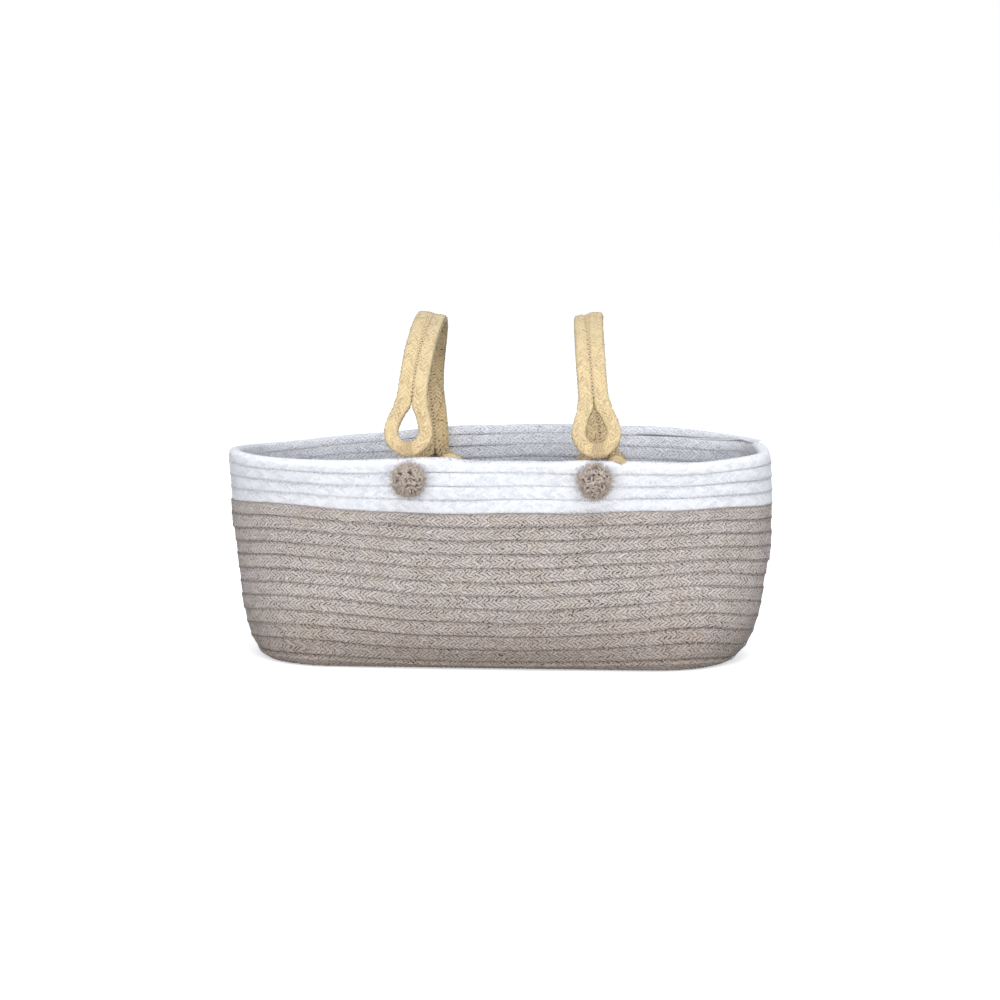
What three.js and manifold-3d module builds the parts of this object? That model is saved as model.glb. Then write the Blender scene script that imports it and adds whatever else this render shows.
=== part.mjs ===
// Oval storage basket, coiled from braided cotton cord and sewn course on course.
// A beige cord makes the flat oval base and the lower wall, a white cord the upper wall and rim.
// Two cord handles cross the basket from front to rear, and a pom-pom hangs below each of them.
// Millimetres. +X is to the right along the basket, +Y to its rear, +Z up, and the base stands on z = 0.
import * as THREE from 'three';
import { mergeVertices } from 'three/addons/utils/BufferGeometryUtils.js';
import Module from 'manifold-3d';

const wasm = await Module();
wasm.setup();

// Outer sizes of the basket
const rimHalfLength = 200;
const rimHalfDepth = 98.7;
const footHalfLength = 182;
const footHalfDepth = 65;
const wallHeight = 157.5;
const leftEndBulge = 4;
const rightEndBulge = 10;
const frontRoundness = 2;
const rearRoundness = 3.3;
const rearRimRise = 7.8;
const rearRimTilt = 6.6;
const rimEndDrop = 2.2;
const lowerCourseSpread = 0.036;
const footTuck = 7;
const tuckedCourses = 2.5;
const footEdgeDrop = 3.6;
const footEdgeCourses = 3;
const frontCornerLift = 3.4;
const frontCornerPower = 2.5;
const rearCourseCrowding = 5.5;

// Cord of the base and wall
const baseTurns = 6;
const beigeCourses = 12;
const whiteCourses = 4;
const cordThickness = 9.2;
const cordFlatShare = 0.62;
const courseGap = 0.55;
const buttGap = 0.5;
const underside = cordThickness / 10;
const firstBendRelief = 0.3;
const innerCourseGap = 1.15;
const innerTurns = 3;

// Handles
const handleCordWidth = 10;
const handleCordThickness = 7;
const seamGap = 0.5;
const handleCrestHeight = 95.3;
const handleCrestRoll = THREE.MathUtils.degToRad(14);
const archRoundness = 1.65;
const frontLoopLean = THREE.MathUtils.degToRad(15.5);
const frontLoopRadius = 17.3;
const frontNeckLength = 28;
const frontUprightLength = 38.3;
const rearLoopRadius = 22;
const rearNeckLength = 23;
const rearLoopDepth = 56;
const neckFullness = 0.45;
const handleRimGap = 0.5;
const handleWallGap = 2.4;
const leftLoopFront = 57.8;
const leftLoopRear = 54;
const leftHandleLean = 7.5;
const leftRearBow = 7.5;
const rightLoopFront = 78;
const rightLoopRear = 74.5;
const rightHandleLean = 9;
const rightRearBow = 3;
const leftPompomPlace = 54;
const rightPompomPlace = 75.8;
const handles = [
  {
    side: 'left', frontX: -leftLoopFront, rearX: -leftLoopRear, lean: leftHandleLean,
    bow: leftRearBow, roll: handleCrestRoll, pompomX: -leftPompomPlace
  },
  {
    side: 'right', frontX: rightLoopFront, rearX: rightLoopRear, lean: -rightHandleLean,
    bow: rightRearBow, roll: -handleCrestRoll, pompomX: rightPompomPlace
  }
];

// Sewing thread and pom-poms
const threadDiameter = 1.2;
const threadGap = 0.3;
const threadBend = 1.5;
const stitchSlack = 0.8;
const stitchFootRise = 1.2;
const stitchesPerLoop = 3;
const frontStitchAngle = 19;
const rearStitchAngle = 20;
const pompomDiameter = 25;
const pompomDetail = 3;
const tieDiameter = 2;
const tieKnotDiameter = 5;

// Faces and steps
const turnSteps = 24;
const quarterSteps = turnSteps / 4;
const endSteps = 4;
const archPoints = 28;
const archStrandSteps = 26;
const loopArcEnd = THREE.MathUtils.degToRad(100);
const loopArcSteps = 5;
const neckSteps = 4;
const endShare = endSteps / quarterSteps;
const superellipseEndAngle = THREE.MathUtils.degToRad(50);
const handleSides = 8;
const threadSides = 6;

const courses = beigeCourses + whiteCourses;
const cordHalf = cordThickness / 2;
const lerp = THREE.MathUtils.lerp;
const clamp = THREE.MathUtils.clamp;
const vector = (x, y, z) => new THREE.Vector3(x, y, z);

// Materials
const beigeCotton = new THREE.MeshStandardMaterial({ color: 0xb7ada7, roughness: 0.95, metalness: 0 });
const whiteCotton = new THREE.MeshStandardMaterial({ color: 0xf0f1f6, roughness: 0.95, metalness: 0 });
const juteCord = new THREE.MeshStandardMaterial({ color: 0xe6cda8, roughness: 0.9, metalness: 0 });
const juteThread = new THREE.MeshStandardMaterial({ color: 0xd8bd92, roughness: 0.9, metalness: 0 });
const woolYarn = new THREE.MeshStandardMaterial({ color: 0xa89b91, roughness: 1, metalness: 0 });

// Half sizes of the oval that a level of the coil follows, along its centreline.
// Levels up to baseTurns lie flat in the base, and each one above is a course of the wall.
// The lowest courses draw in and crowd together, which rounds the foot's edge.
function heightShare(level) {
  return (level - baseTurns + 0.5) / courses;
}

function wallOval(level) {
  const share = heightShare(level);
  const bulge = 4 * share * (1 - share);
  const course = level - baseTurns;
  const tuck = footTuck * Math.max(1 - course / tuckedCourses, 0) ** 2;
  const halfLength = lerp(footHalfLength, rimHalfLength, share) - cordHalf - tuck;
  return {
    left: halfLength + leftEndBulge * bulge,
    right: halfLength + rightEndBulge * bulge,
    depth: lerp(footHalfDepth, rimHalfDepth, share) - cordHalf - tuck,
    drop: footEdgeDrop * course / footEdgeCourses * Math.exp(1 - course / footEdgeCourses),
    cornerLift: frontCornerLift * (1 - 2 * share ** 4) * (1 - Math.exp(-course / 2)),
    share,
    rounding: 1 - (1 - share) ** 3
  };
}

const lowestCourse = wallOval(baseTurns);
const basePitch = lowestCourse.depth / baseTurns;
const baseHeight = cordHalf - underside;

function levelOval(level) {
  if (level >= baseTurns) return wallOval(level);
  const radius = basePitch * level;
  return {
    left: lowestCourse.left - lowestCourse.depth + radius,
    right: lowestCourse.right - lowestCourse.depth + radius,
    depth: radius,
    drop: 0,
    cornerLift: 0,
    share: 0,
    rounding: 0
  };
}

// One quarter of an oval: v runs from 0 at its end to 1 at the middle of its side.
function quarterPoint(v, halfLength, halfDepth, roundness, rounding) {
  const endPart = Math.min(v / endShare, 1);
  const sidePart = Math.max((v - endShare) / (1 - endShare), 0);
  const core = halfLength - halfDepth;
  const endAngle = endPart * Math.PI / 2;
  const straightX = (core * (1 - sidePart)) + halfDepth * Math.cos(endAngle);
  const straightY = halfDepth * Math.sin(endAngle);
  const angle = lerp(superellipseEndAngle * endPart, Math.PI / 2, sidePart);
  const roundX = halfLength * Math.max(Math.cos(angle), 0) ** (2 / roundness);
  const roundY = halfDepth * Math.sin(angle) ** (2 / roundness);
  return [lerp(straightX, roundX, rounding), lerp(straightY, roundY, rounding)];
}

// A point of the closed oval at one level. Stations count clockwise seen from above,
// from the left end over the rear, the right end and the front. The front courses ride up
// towards the corners low on the wall and dip there near the rim, and the rear courses
// crowd together under the rim.
function ovalPoint(level, station) {
  const oval = levelOval(level);
  const quarter = Math.floor(station / quarterSteps) % 4;
  const along = (station % quarterSteps) / quarterSteps;
  const v = quarter % 2 === 0 ? along : 1 - along;
  const rear = quarter < 2;
  const left = quarter === 0 || quarter === 3;
  const roundness = rear ? rearRoundness : frontRoundness;
  const half = left ? oval.left : oval.right;
  const [x, y] = quarterPoint(v, half, oval.depth, roundness, oval.rounding);
  const place = (left ? -x : x) / rimHalfLength;
  const rearward = rear ? y / Math.max(oval.depth, 1) : 0;
  const rise = rearward * (rearRimTilt * place + rearRimRise * (1 - place * place));
  const spread = lowerCourseSpread * oval.share * (1 - oval.share);
  const crowding = rearward * rearCourseCrowding * 256 / 27 * oval.share ** 3 * (1 - oval.share);
  const tilt = oval.share * (rise - rimEndDrop * place * place) + crowding;
  const corner = rear ? 0 : Math.sin(Math.PI * Math.min(x / half, 1) ** frontCornerPower);
  const lift = oval.cornerLift * corner - oval.drop * (1 - 0.8 * corner);
  const wallZ = wallHeight * (oval.share + spread) + tilt + lift;
  return vector(left ? -x : x, rear ? y : -y, level < baseTurns ? baseHeight : wallZ);
}

// Each turn climbs to the next level round the right-hand end. In the base the climb takes the
// whole end, and up the wall it draws back to the rear corner.
function climbShare(turn, station) {
  const rise = clamp(turn / (baseTurns + courses), 0, 1);
  const start = lerp(quarterSteps * 2 - endSteps, quarterSteps + 1, rise);
  const end = lerp(quarterSteps * 2 + endSteps, quarterSteps * 2 - 1, rise);
  return clamp((station - start) / (end - start), 0, 1);
}

function turnPoint(turn, station, share = climbShare(turn, station)) {
  const onFirstBend = turn === 0 && share > 0 && share < 1;
  if (onFirstBend) {
    const angle = Math.PI * (0.5 - share);
    const radius = basePitch / 2;
    const bendX = lowestCourse.right - lowestCourse.depth + radius * Math.cos(angle);
    return vector(bendX, radius * (Math.sin(angle) - 1), baseHeight);
  }
  const lower = ovalPoint(turn, station);
  return lower.lerp(ovalPoint(turn + 1, station), share);
}

// The cord's centre at a step counted from the first turn's left end.
const lastTurn = baseTurns + courses - 1;
const taperStart = lastTurn * turnSteps + quarterSteps + 1;

function cordCentre(step) {
  const turn = Math.floor(step / turnSteps);
  const station = step % turnSteps;
  const share = climbShare(turn, station);
  return turnPoint(turn, station, step > taperStart ? share / 2 : share);
}

// One ring of six points: a blunt face outside and inside, and a crest towards each neighbouring turn.
function cordRing(step) {
  const turn = Math.floor(step / turnSteps);
  const station = step % turnSteps;
  const share = climbShare(turn, station);
  const centre = cordCentre(step);
  const stepBefore = Math.max(step - 1, firstStep);
  const along = cordCentre(step + 1).sub(cordCentre(stepBefore)).normalize();
  const above = turnPoint(turn + 1, station);
  const plain = turnPoint(turn, station);
  const below = turn > 0 ? turnPoint(turn - 1, station) : plain.clone().multiplyScalar(2).sub(above);
  const up = above.clone().sub(below);
  up.addScaledVector(along, -up.dot(along)).normalize();
  const outward = up.clone().cross(along);
  const gap = turn < innerTurns ? innerCourseGap : courseGap;
  let upHalf = (above.distanceTo(plain) - gap) / 2;
  let downHalf = (plain.distanceTo(below) - gap) / 2;
  if (turn === 0) {
    upHalf = (basePitch - gap) / 2;
    downHalf = upHalf * (1 - firstBendRelief * Math.sin(Math.PI * share));
  }
  if (step > taperStart) {
    upHalf = (above.distanceTo(plain) * (1 - share) - courseGap) / 2;
    downHalf = upHalf;
  }
  const section = [
    [upHalf, 0],
    [upHalf * cordFlatShare, cordHalf],
    [-downHalf * cordFlatShare, cordHalf],
    [-downHalf, 0],
    [-downHalf * cordFlatShare, -cordHalf],
    [upHalf * cordFlatShare, -cordHalf]
  ];
  return section.map(([rise, out]) => centre.clone().addScaledVector(up, rise).addScaledVector(outward, out));
}

const firstStep = quarterSteps - 2;
const colourStep = (baseTurns + beigeCourses - 1) * turnSteps + quarterSteps + 1;
const lastStep = taperStart + 3;
const colourStepLength = cordCentre(colourStep).distanceTo(cordCentre(colourStep + 1));

// A closed tube through rings of equal count. Open tubes get flat ends, and a ring path joins up.
function tubeGeometry(rings, closedPath = false) {
  const sides = rings[0].length;
  const positions = rings.flat().flatMap((point) => [point.x, point.y, point.z]);
  const indices = [];
  const spans = closedPath ? rings.length : rings.length - 1;
  for (let i = 0; i < spans; i++) {
    for (let j = 0; j < sides; j++) {
      const a = i * sides + j;
      const b = i * sides + (j + 1) % sides;
      const c = ((i + 1) % rings.length) * sides + j;
      const d = ((i + 1) % rings.length) * sides + (j + 1) % sides;
      indices.push(a, b, d, a, d, c);
    }
  }
  if (!closedPath) {
    const end = (rings.length - 1) * sides;
    for (let j = 1; j < sides - 1; j++) {
      indices.push(0, j + 1, j);
      indices.push(end, end + j, end + j + 1);
    }
  }
  const geometry = new THREE.BufferGeometry();
  geometry.setAttribute('position', new THREE.Float32BufferAttribute(positions, 3));
  geometry.setIndex(indices);
  return signedVolume(geometry) < 0 ? turnedInsideOut(geometry) : geometry;
}

function signedVolume(geometry) {
  const position = geometry.attributes.position;
  const corner = (i) => vector(position.getX(i), position.getY(i), position.getZ(i));
  let volume = 0;
  for (let i = 0; i < geometry.index.count; i += 3) {
    const [a, b, c] = [0, 1, 2].map((j) => corner(geometry.index.getX(i + j)));
    volume += a.dot(b.cross(c)) / 6;
  }
  return volume;
}

function turnedInsideOut(geometry) {
  const indices = Array.from(geometry.index.array);
  for (let i = 0; i < indices.length; i += 3) {
    const second = indices[i + 1];
    indices[i + 1] = indices[i + 2];
    indices[i + 2] = second;
  }
  geometry.setIndex(indices);
  return geometry;
}

function toSolid(geometry) {
  const bare = geometry.clone();
  bare.deleteAttribute('normal');
  bare.deleteAttribute('uv');
  const merged = mergeVertices(bare);
  return new wasm.Manifold(new wasm.Mesh({
    numProp: 3,
    vertProperties: new Float32Array(merged.attributes.position.array),
    triVerts: new Uint32Array(merged.index.array)
  }));
}

function toGeometry(solid) {
  const mesh = solid.getMesh();
  const geometry = new THREE.BufferGeometry();
  geometry.setAttribute('position', new THREE.BufferAttribute(mesh.vertProperties, 3));
  geometry.setIndex(new THREE.BufferAttribute(mesh.triVerts, 1));
  return geometry;
}

const basket = new THREE.Group();

function addPart(name, geometry, material) {
  const mesh = new THREE.Mesh(geometry, material);
  mesh.name = name;
  basket.add(mesh);
  return mesh;
}

// Coiled cords. The beige one is cut flat where the base stands.
function cordRings(from, to) {
  const rings = [cordRing(from)];
  for (let step = Math.floor(from) + 1; step <= to; step++) rings.push(cordRing(step));
  return rings;
}

const beigeRings = cordRings(firstStep, colourStep);
const whiteRings = cordRings(colourStep + buttGap / colourStepLength, lastStep);

const floorBlock = new THREE.BoxGeometry(rimHalfLength * 3, rimHalfDepth * 3, cordThickness);
floorBlock.translate(0, 0, -cordThickness / 2);
const beigeSolid = toSolid(tubeGeometry(beigeRings)).subtract(toSolid(floorBlock));
addPart('beige_cord', toGeometry(beigeSolid), beigeCotton);

// Centre of the wall's cord where a course passes a given x, on the front or the rear side.
function courseAt(course, x, rear) {
  const firstStation = rear ? 0 : quarterSteps * 2;
  const turn = baseTurns + course;
  for (let station = firstStation; station < firstStation + quarterSteps * 2; station++) {
    const a = ovalPoint(turn, station);
    const b = ovalPoint(turn, station + 1);
    const share = (x - a.x) / (b.x - a.x);
    if (share >= 0 && share <= 1) return a.lerp(b, share);
  }
  throw new Error('no course passes x = ' + x);
}

const topCourse = courses - 1;

// Handles. A handle's spine runs up from the front rim, over the basket and down inside the rear
// wall. The cord's ring is laid out flat on that ribbon: u along the spine, w across it.
function handleSpine({ frontX, rearX, lean, bow }) {
  const frontRim = courseAt(topCourse, frontX, false);
  const rimTop = frontRim.z + frontRim.distanceTo(courseAt(topCourse - 1, frontX, false)) / 2;
  const rearTop = courseAt(topCourse, rearX, true);
  const rearCourse = Math.round(topCourse - rearLoopDepth / wallHeight * courses);
  const rearLow = courseAt(rearCourse, rearX, true);
  const inset = cordHalf + handleWallGap + handleCordThickness / 2;
  const down = rearLow.clone().sub(rearTop).setX(0).normalize();
  const inward = vector(0, down.z, -down.y).normalize();
  const rearStart = rearTop.clone().addScaledVector(inward, inset);
  const leaning = vector(0, Math.sin(frontLoopLean), Math.cos(frontLoopLean));
  const cornerDrop = handleCordThickness / 2 * Math.sin(frontLoopLean);
  const bottom = vector(0, frontRim.y, rimTop + handleRimGap + cornerDrop);
  const archFoot = bottom.clone().addScaledVector(leaning, frontUprightLength);
  const middle = (archFoot.y + rearStart.y) / 2;
  const halfSpan = (rearStart.y - archFoot.y) / 2;
  const archHeight = rimTop + handleCrestHeight - archFoot.z;
  const points = [bottom, bottom.clone().addScaledVector(leaning, frontUprightLength / 2)];
  for (let i = 0; i <= archPoints; i++) {
    const angle = Math.PI * i / archPoints;
    const cosine = Math.cos(angle);
    const y = middle - halfSpan * Math.sign(cosine) * Math.abs(cosine) ** (2 / archRoundness);
    const z = archFoot.z + archHeight * Math.sin(angle) ** (2 / archRoundness);
    points.push(vector(0, y, z));
  }
  const rearEnd = rearStart.clone().addScaledVector(down, rearLoopDepth);
  points.push(vector(0, rearStart.y, rearStart.z));
  points.push(vector(0, (rearStart.y + rearEnd.y) / 2, (rearStart.z + rearEnd.z) / 2));
  points.push(vector(0, rearEnd.y, rearEnd.z));
  for (const point of points) {
    const across = (point.y - frontRim.y) / (rearStart.y - frontRim.y);
    const raised = clamp((point.z - rimTop) / handleCrestHeight, 0, 1);
    const bowed = point.y > middle ? bow * Math.sin(Math.PI * raised) : 0;
    point.x = lerp(frontX, rearX, clamp(across, 0, 1)) + lean * raised - bowed;
  }
  return new THREE.CatmullRomCurve3(points, false, 'centripetal');
}

// Half of the ring in the ribbon's plane, from the front loop's lowest point to the rear loop's.
const strandOffset = (handleCordWidth + seamGap) / 2;

function loopOutline(outerRadius, neckLength) {
  const radius = outerRadius - handleCordWidth / 2;
  const outline = [];
  for (let i = 0; i <= loopArcSteps; i++) {
    const angle = loopArcEnd * i / loopArcSteps;
    outline.push([outerRadius - radius * Math.cos(angle), radius * Math.sin(angle)]);
  }
  const [u, w] = outline[loopArcSteps];
  const split = outerRadius + neckLength;
  const reach = (split - u) * neckFullness;
  const neck = new THREE.CubicBezierCurve(
    new THREE.Vector2(u, w),
    new THREE.Vector2(u + reach * Math.sin(loopArcEnd), w + reach * Math.cos(loopArcEnd)),
    new THREE.Vector2(split - reach, strandOffset),
    new THREE.Vector2(split, strandOffset)
  );
  for (const point of neck.getPoints(neckSteps).slice(1)) outline.push([point.x, point.y]);
  return outline;
}

function handleRings(spine, roll) {
  const length = spine.getLength();
  const foot = spine.getPointAt(0).z;
  const front = loopOutline(frontLoopRadius, frontNeckLength);
  const rear = loopOutline(rearLoopRadius, rearNeckLength).map(([u, w]) => [length - u, w]).reverse();
  const half = [...front];
  const from = front[front.length - 1][0];
  const to = rear[0][0];
  for (let i = 1; i < archStrandSteps; i++) half.push([lerp(from, to, i / archStrandSteps), strandOffset]);
  half.push(...rear);
  const otherHalf = half.slice(1, -1).reverse().map(([u, w]) => [u, -w]);
  const outline = [...half, ...otherHalf];
  return outline.map(([u, w], i) => {
    const before = outline[(i + outline.length - 1) % outline.length];
    const after = outline[(i + 1) % outline.length];
    const share = clamp(u / length, 0, 1);
    const spinePoint = spine.getPointAt(share);
    const along = spine.getTangentAt(share);
    const raised = clamp((spinePoint.z - foot) / handleCrestHeight, 0, 1);
    const across = vector(1, 0, 0).addScaledVector(along, -along.x).normalize();
    across.applyAxisAngle(along, -roll * raised ** 2);
    const thickness = along.clone().cross(across);
    const heading = new THREE.Vector2(after[0] - before[0], after[1] - before[1]).normalize();
    const widthways = along.clone().multiplyScalar(-heading.y).addScaledVector(across, heading.x);
    const centre = spinePoint.addScaledVector(across, w);
    return roundedRing(centre, widthways, thickness, handleCordWidth / 2, handleCordThickness / 2);
  });
}

function roundedRing(centre, widthways, thickness, halfWidth, halfThickness) {
  const ring = [];
  for (let j = 0; j < handleSides; j++) {
    const angle = 2 * Math.PI * (j + 0.5) / handleSides;
    const reach = 1 / Math.cos(Math.PI / handleSides);
    const point = centre.clone();
    point.addScaledVector(widthways, halfWidth * reach * Math.cos(angle));
    point.addScaledVector(thickness, halfThickness * reach * Math.sin(angle));
    ring.push(point);
  }
  return ring;
}

// Thread bent to a path of corner points, as a tube of even section.
function threadGeometry(corners) {
  const path = new THREE.CatmullRomCurve3(corners, false, 'centripetal');
  const outline = new THREE.Shape();
  for (let j = 0; j < threadSides; j++) {
    const angle = 2 * Math.PI * j / threadSides;
    const x = threadDiameter / 2 * Math.cos(angle);
    const y = threadDiameter / 2 * Math.sin(angle);
    if (j === 0) outline.moveTo(x, y);
    else outline.lineTo(x, y);
  }
  return new THREE.ExtrudeGeometry(outline, { steps: 10, extrudePath: path, bevelEnabled: false });
}

// A stitch crosses a cord and runs down both sides of it: base is on the cord's centre, over points
// to the side that it crosses, and beside to the side of its first foot.
function stitchCorners({ base, over, beside, halfOver, halfBeside, feet }) {
  const high = halfOver + stitchSlack + threadDiameter / 2;
  const wide = halfBeside + stitchSlack + threadDiameter / 2;
  const corner = (a, b) => base.clone().addScaledVector(over, a).addScaledVector(beside, b);
  return [
    corner(-feet[0], wide),
    corner(high - threadBend, wide),
    corner(high - threadBend / 4, wide - threadBend),
    corner(high, 0),
    corner(high - threadBend / 4, threadBend - wide),
    corner(high - threadBend, -wide),
    corner(-feet[1], -wide)
  ];
}

// Three stitches round the end of a loop, each placed by its angle from the loop's far point.
function addStitches(name, stitchAngle, placedStitch) {
  for (let i = 0; i < stitchesPerLoop; i++) {
    const angle = THREE.MathUtils.degToRad((i - (stitchesPerLoop - 1) / 2) * stitchAngle);
    addPart(`${name}_${i + 1}`, threadGeometry(stitchCorners(placedStitch(angle))), juteThread);
  }
}

let whiteSolid = toSolid(tubeGeometry(whiteRings));

for (const handle of handles) {
  const { side, frontX } = handle;
  const spine = handleSpine(handle);
  const length = spine.getLength();
  addPart(`handle_${side}`, tubeGeometry(handleRings(spine, handle.roll), true), juteCord);

  const frontPivot = spine.getPointAt(frontLoopRadius / length);
  const rearPivot = spine.getPointAt(1 - rearLoopRadius / length);
  const places = [frontPivot, rearPivot].map((point) => point.toArray().map((value) => value.toFixed(3)));
  console.log(`loop centres of the ${side} handle: front ${places[0]}, rear ${places[1]}`);

  const frontDown = spine.getTangentAt(0).negate();
  const frontSide = vector(1, 0, 0).addScaledVector(frontDown, -frontDown.x).normalize();
  const frontInward = frontSide.clone().cross(frontDown).normalize();
  const rim = courseAt(topCourse, frontX, false);
  addStitches(`front_stitch_${side}`, frontStitchAngle, (angle) => {
    const radial = frontDown.clone().multiplyScalar(Math.cos(angle)).addScaledVector(frontSide, Math.sin(angle));
    const base = frontPivot.clone().addScaledVector(radial, frontLoopRadius - handleCordWidth / 2);
    const reach = base.z - rim.z - cordHalf + threadGap;
    return {
      base,
      over: radial.clone().negate(),
      beside: frontInward,
      halfOver: handleCordWidth / 2,
      halfBeside: handleCordThickness / 2,
      feet: [reach - stitchFootRise, reach + stitchFootRise]
    };
  });

  const rearDown = spine.getTangentAt(1);
  const rearSide = vector(1, 0, 0).addScaledVector(rearDown, -rearDown.x).normalize();
  const rearInward = rearDown.clone().cross(rearSide).normalize();
  const rearFoot = handleCordThickness / 2 + handleWallGap - 2 * threadGap;
  addStitches(`rear_stitch_${side}`, rearStitchAngle, (angle) => {
    const radial = rearDown.clone().multiplyScalar(Math.cos(angle)).addScaledVector(rearSide, Math.sin(angle));
    return {
      base: rearPivot.clone().addScaledVector(radial, rearLoopRadius - handleCordWidth / 2),
      over: rearInward,
      beside: radial,
      halfOver: handleCordThickness / 2,
      halfBeside: handleCordWidth / 2,
      feet: [rearFoot, rearFoot]
    };
  });
}

// Pom-poms on the white band, each tied through the wall's second course to a knot inside.
const pompomCourse = topCourse - 1;

function bareGeometry(geometry) {
  geometry.deleteAttribute('normal');
  geometry.deleteAttribute('uv');
  return mergeVertices(geometry);
}

function placedAlong(geometry, from, to) {
  const direction = to.clone().sub(from).normalize();
  geometry.applyQuaternion(new THREE.Quaternion().setFromUnitVectors(vector(0, 1, 0), direction));
  geometry.translate((from.x + to.x) / 2, (from.y + to.y) / 2, (from.z + to.z) / 2);
  return geometry;
}

for (const handle of handles) {
  const radius = pompomDiameter / 2;
  const middleWall = courseAt(pompomCourse, handle.pompomX, false);
  const slope = courseAt(pompomCourse, handle.pompomX + 1, false).sub(middleWall);
  const sideways = (cordHalf + threadGap + radius) * slope.y / slope.length();
  const tieX = handle.pompomX - sideways;
  const wall = courseAt(pompomCourse, tieX, false);
  const beside = courseAt(pompomCourse, tieX + 1, false).sub(wall).normalize();
  const upward = courseAt(pompomCourse + 1, tieX, false).sub(wall).normalize();
  const outward = beside.clone().cross(vector(0, 0, 1)).normalize();
  const square = beside.clone().cross(upward).normalize();
  const steepness = Math.abs(square.dot(outward));
  const centre = wall.clone().addScaledVector(outward, (cordHalf + threadGap + radius) / steepness);
  const ball = new THREE.IcosahedronGeometry(radius, pompomDetail);
  ball.translate(centre.x, centre.y, centre.z);
  addPart(`pompom_${handle.side}`, bareGeometry(ball), woolYarn);

  const knotDistance = (cordHalf + threadGap + tieKnotDiameter / 2) / steepness;
  const knotCentre = wall.clone().addScaledVector(outward, -knotDistance);
  const tieEnd = centre.clone().addScaledVector(outward, -radius - threadGap);
  const tieLength = knotCentre.distanceTo(tieEnd);
  const tie = new THREE.CylinderGeometry(tieDiameter / 2, tieDiameter / 2, tieLength, threadSides);
  const knot = new THREE.IcosahedronGeometry(tieKnotDiameter / 2, 1);
  knot.translate(knotCentre.x, knotCentre.y, knotCentre.z);
  const tieSolid = toSolid(placedAlong(tie, knotCentre, tieEnd)).add(toSolid(knot));
  addPart(`pompom_tie_${handle.side}`, toGeometry(tieSolid), woolYarn);

  const holeRadius = tieDiameter / 2 + threadGap;
  const hole = new THREE.CylinderGeometry(holeRadius, holeRadius, cordThickness * 2, threadSides);
  const holeStart = wall.clone().addScaledVector(outward, -cordThickness);
  const holeEnd = wall.clone().addScaledVector(outward, cordThickness);
  whiteSolid = whiteSolid.subtract(toSolid(placedAlong(hole, holeStart, holeEnd)));
}

addPart('white_cord', toGeometry(whiteSolid), whiteCotton);

// The least gap from one turn of the coil to the next, measured between points on both.
function pointsBetween(ring, nextRing, shares) {
  return shares.flatMap((share) => ring.map((point, j) => point.clone().lerp(nextRing[j], share)));
}

function leastTurnGap(rings) {
  const shares = [0, 0.25, 0.5, 0.75];
  let least = Infinity;
  for (let i = 0; i + turnSteps + 1 < rings.length; i++) {
    const lower = pointsBetween(rings[i], rings[i + 1], shares);
    const upper = pointsBetween(rings[i + turnSteps], rings[i + turnSteps + 1], shares);
    for (const a of lower) for (const b of upper) least = Math.min(least, a.distanceTo(b));
  }
  return least;
}

console.log(`least gap between turns: beige ${leastTurnGap(beigeRings).toFixed(2)} mm, `
  + `white ${leastTurnGap(whiteRings.slice(1)).toFixed(2)} mm`);

export default basket;
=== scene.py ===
import math

import bpy
import numpy as np
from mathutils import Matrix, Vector


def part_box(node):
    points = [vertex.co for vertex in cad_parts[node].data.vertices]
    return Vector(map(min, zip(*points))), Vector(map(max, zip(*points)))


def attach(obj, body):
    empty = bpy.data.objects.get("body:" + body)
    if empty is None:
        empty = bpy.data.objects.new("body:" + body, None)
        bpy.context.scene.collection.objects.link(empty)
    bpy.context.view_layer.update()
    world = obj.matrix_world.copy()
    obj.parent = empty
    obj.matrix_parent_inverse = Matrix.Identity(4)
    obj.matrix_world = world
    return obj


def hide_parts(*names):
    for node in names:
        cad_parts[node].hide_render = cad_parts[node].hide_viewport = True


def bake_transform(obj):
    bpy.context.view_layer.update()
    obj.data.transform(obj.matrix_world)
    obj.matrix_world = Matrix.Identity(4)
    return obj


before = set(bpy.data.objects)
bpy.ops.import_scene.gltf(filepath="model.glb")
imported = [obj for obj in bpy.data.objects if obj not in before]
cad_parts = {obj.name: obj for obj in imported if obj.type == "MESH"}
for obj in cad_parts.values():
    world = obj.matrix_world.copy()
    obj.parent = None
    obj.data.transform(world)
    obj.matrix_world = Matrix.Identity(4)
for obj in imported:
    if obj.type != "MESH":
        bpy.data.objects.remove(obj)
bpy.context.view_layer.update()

# The coil. One length of braided beige cotton cord winds flat into the oval base and then climbs the
# wall for twelve courses; a white cord carries on for four more to the rim. The cords are sewn to
# themselves turn by turn. Sizes are in millimetres, and the coil runs clockwise seen from above.
MM = 0.001
BASE_TURNS = 6
BEIGE_COURSES = 12
WHITE_COURSES = 4
COURSES = BEIGE_COURSES + WHITE_COURSES
RIM_HALF_LENGTH = 200
RIM_HALF_DEPTH = 98.7
FOOT_HALF_LENGTH = 182
FOOT_HALF_DEPTH = 65
WALL_HEIGHT = 157.5
LEFT_END_BULGE = 4
RIGHT_END_BULGE = 10
FRONT_ROUNDNESS = 2
REAR_ROUNDNESS = 3.3
REAR_RIM_RISE = 7.8
REAR_RIM_TILT = 6.6
RIM_END_DROP = 2.2
LOWER_COURSE_SPREAD = 0.036
FOOT_TUCK = 7
TUCKED_COURSES = 2.5
FOOT_EDGE_DROP = 3.6
FOOT_EDGE_COURSES = 3
FRONT_CORNER_LIFT = 3.4
FRONT_CORNER_POWER = 2.5
REAR_CROWDING = 5.5
CORD_THICKNESS = 9.2
CORD_HALF = CORD_THICKNESS / 2
UNDERSIDE = CORD_THICKNESS / 10
STATIONS = 24
QUARTER = STATIONS / 4
END_STATIONS = 4
END_ANGLE = math.radians(50)
START_TURN = 4 / STATIONS
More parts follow.
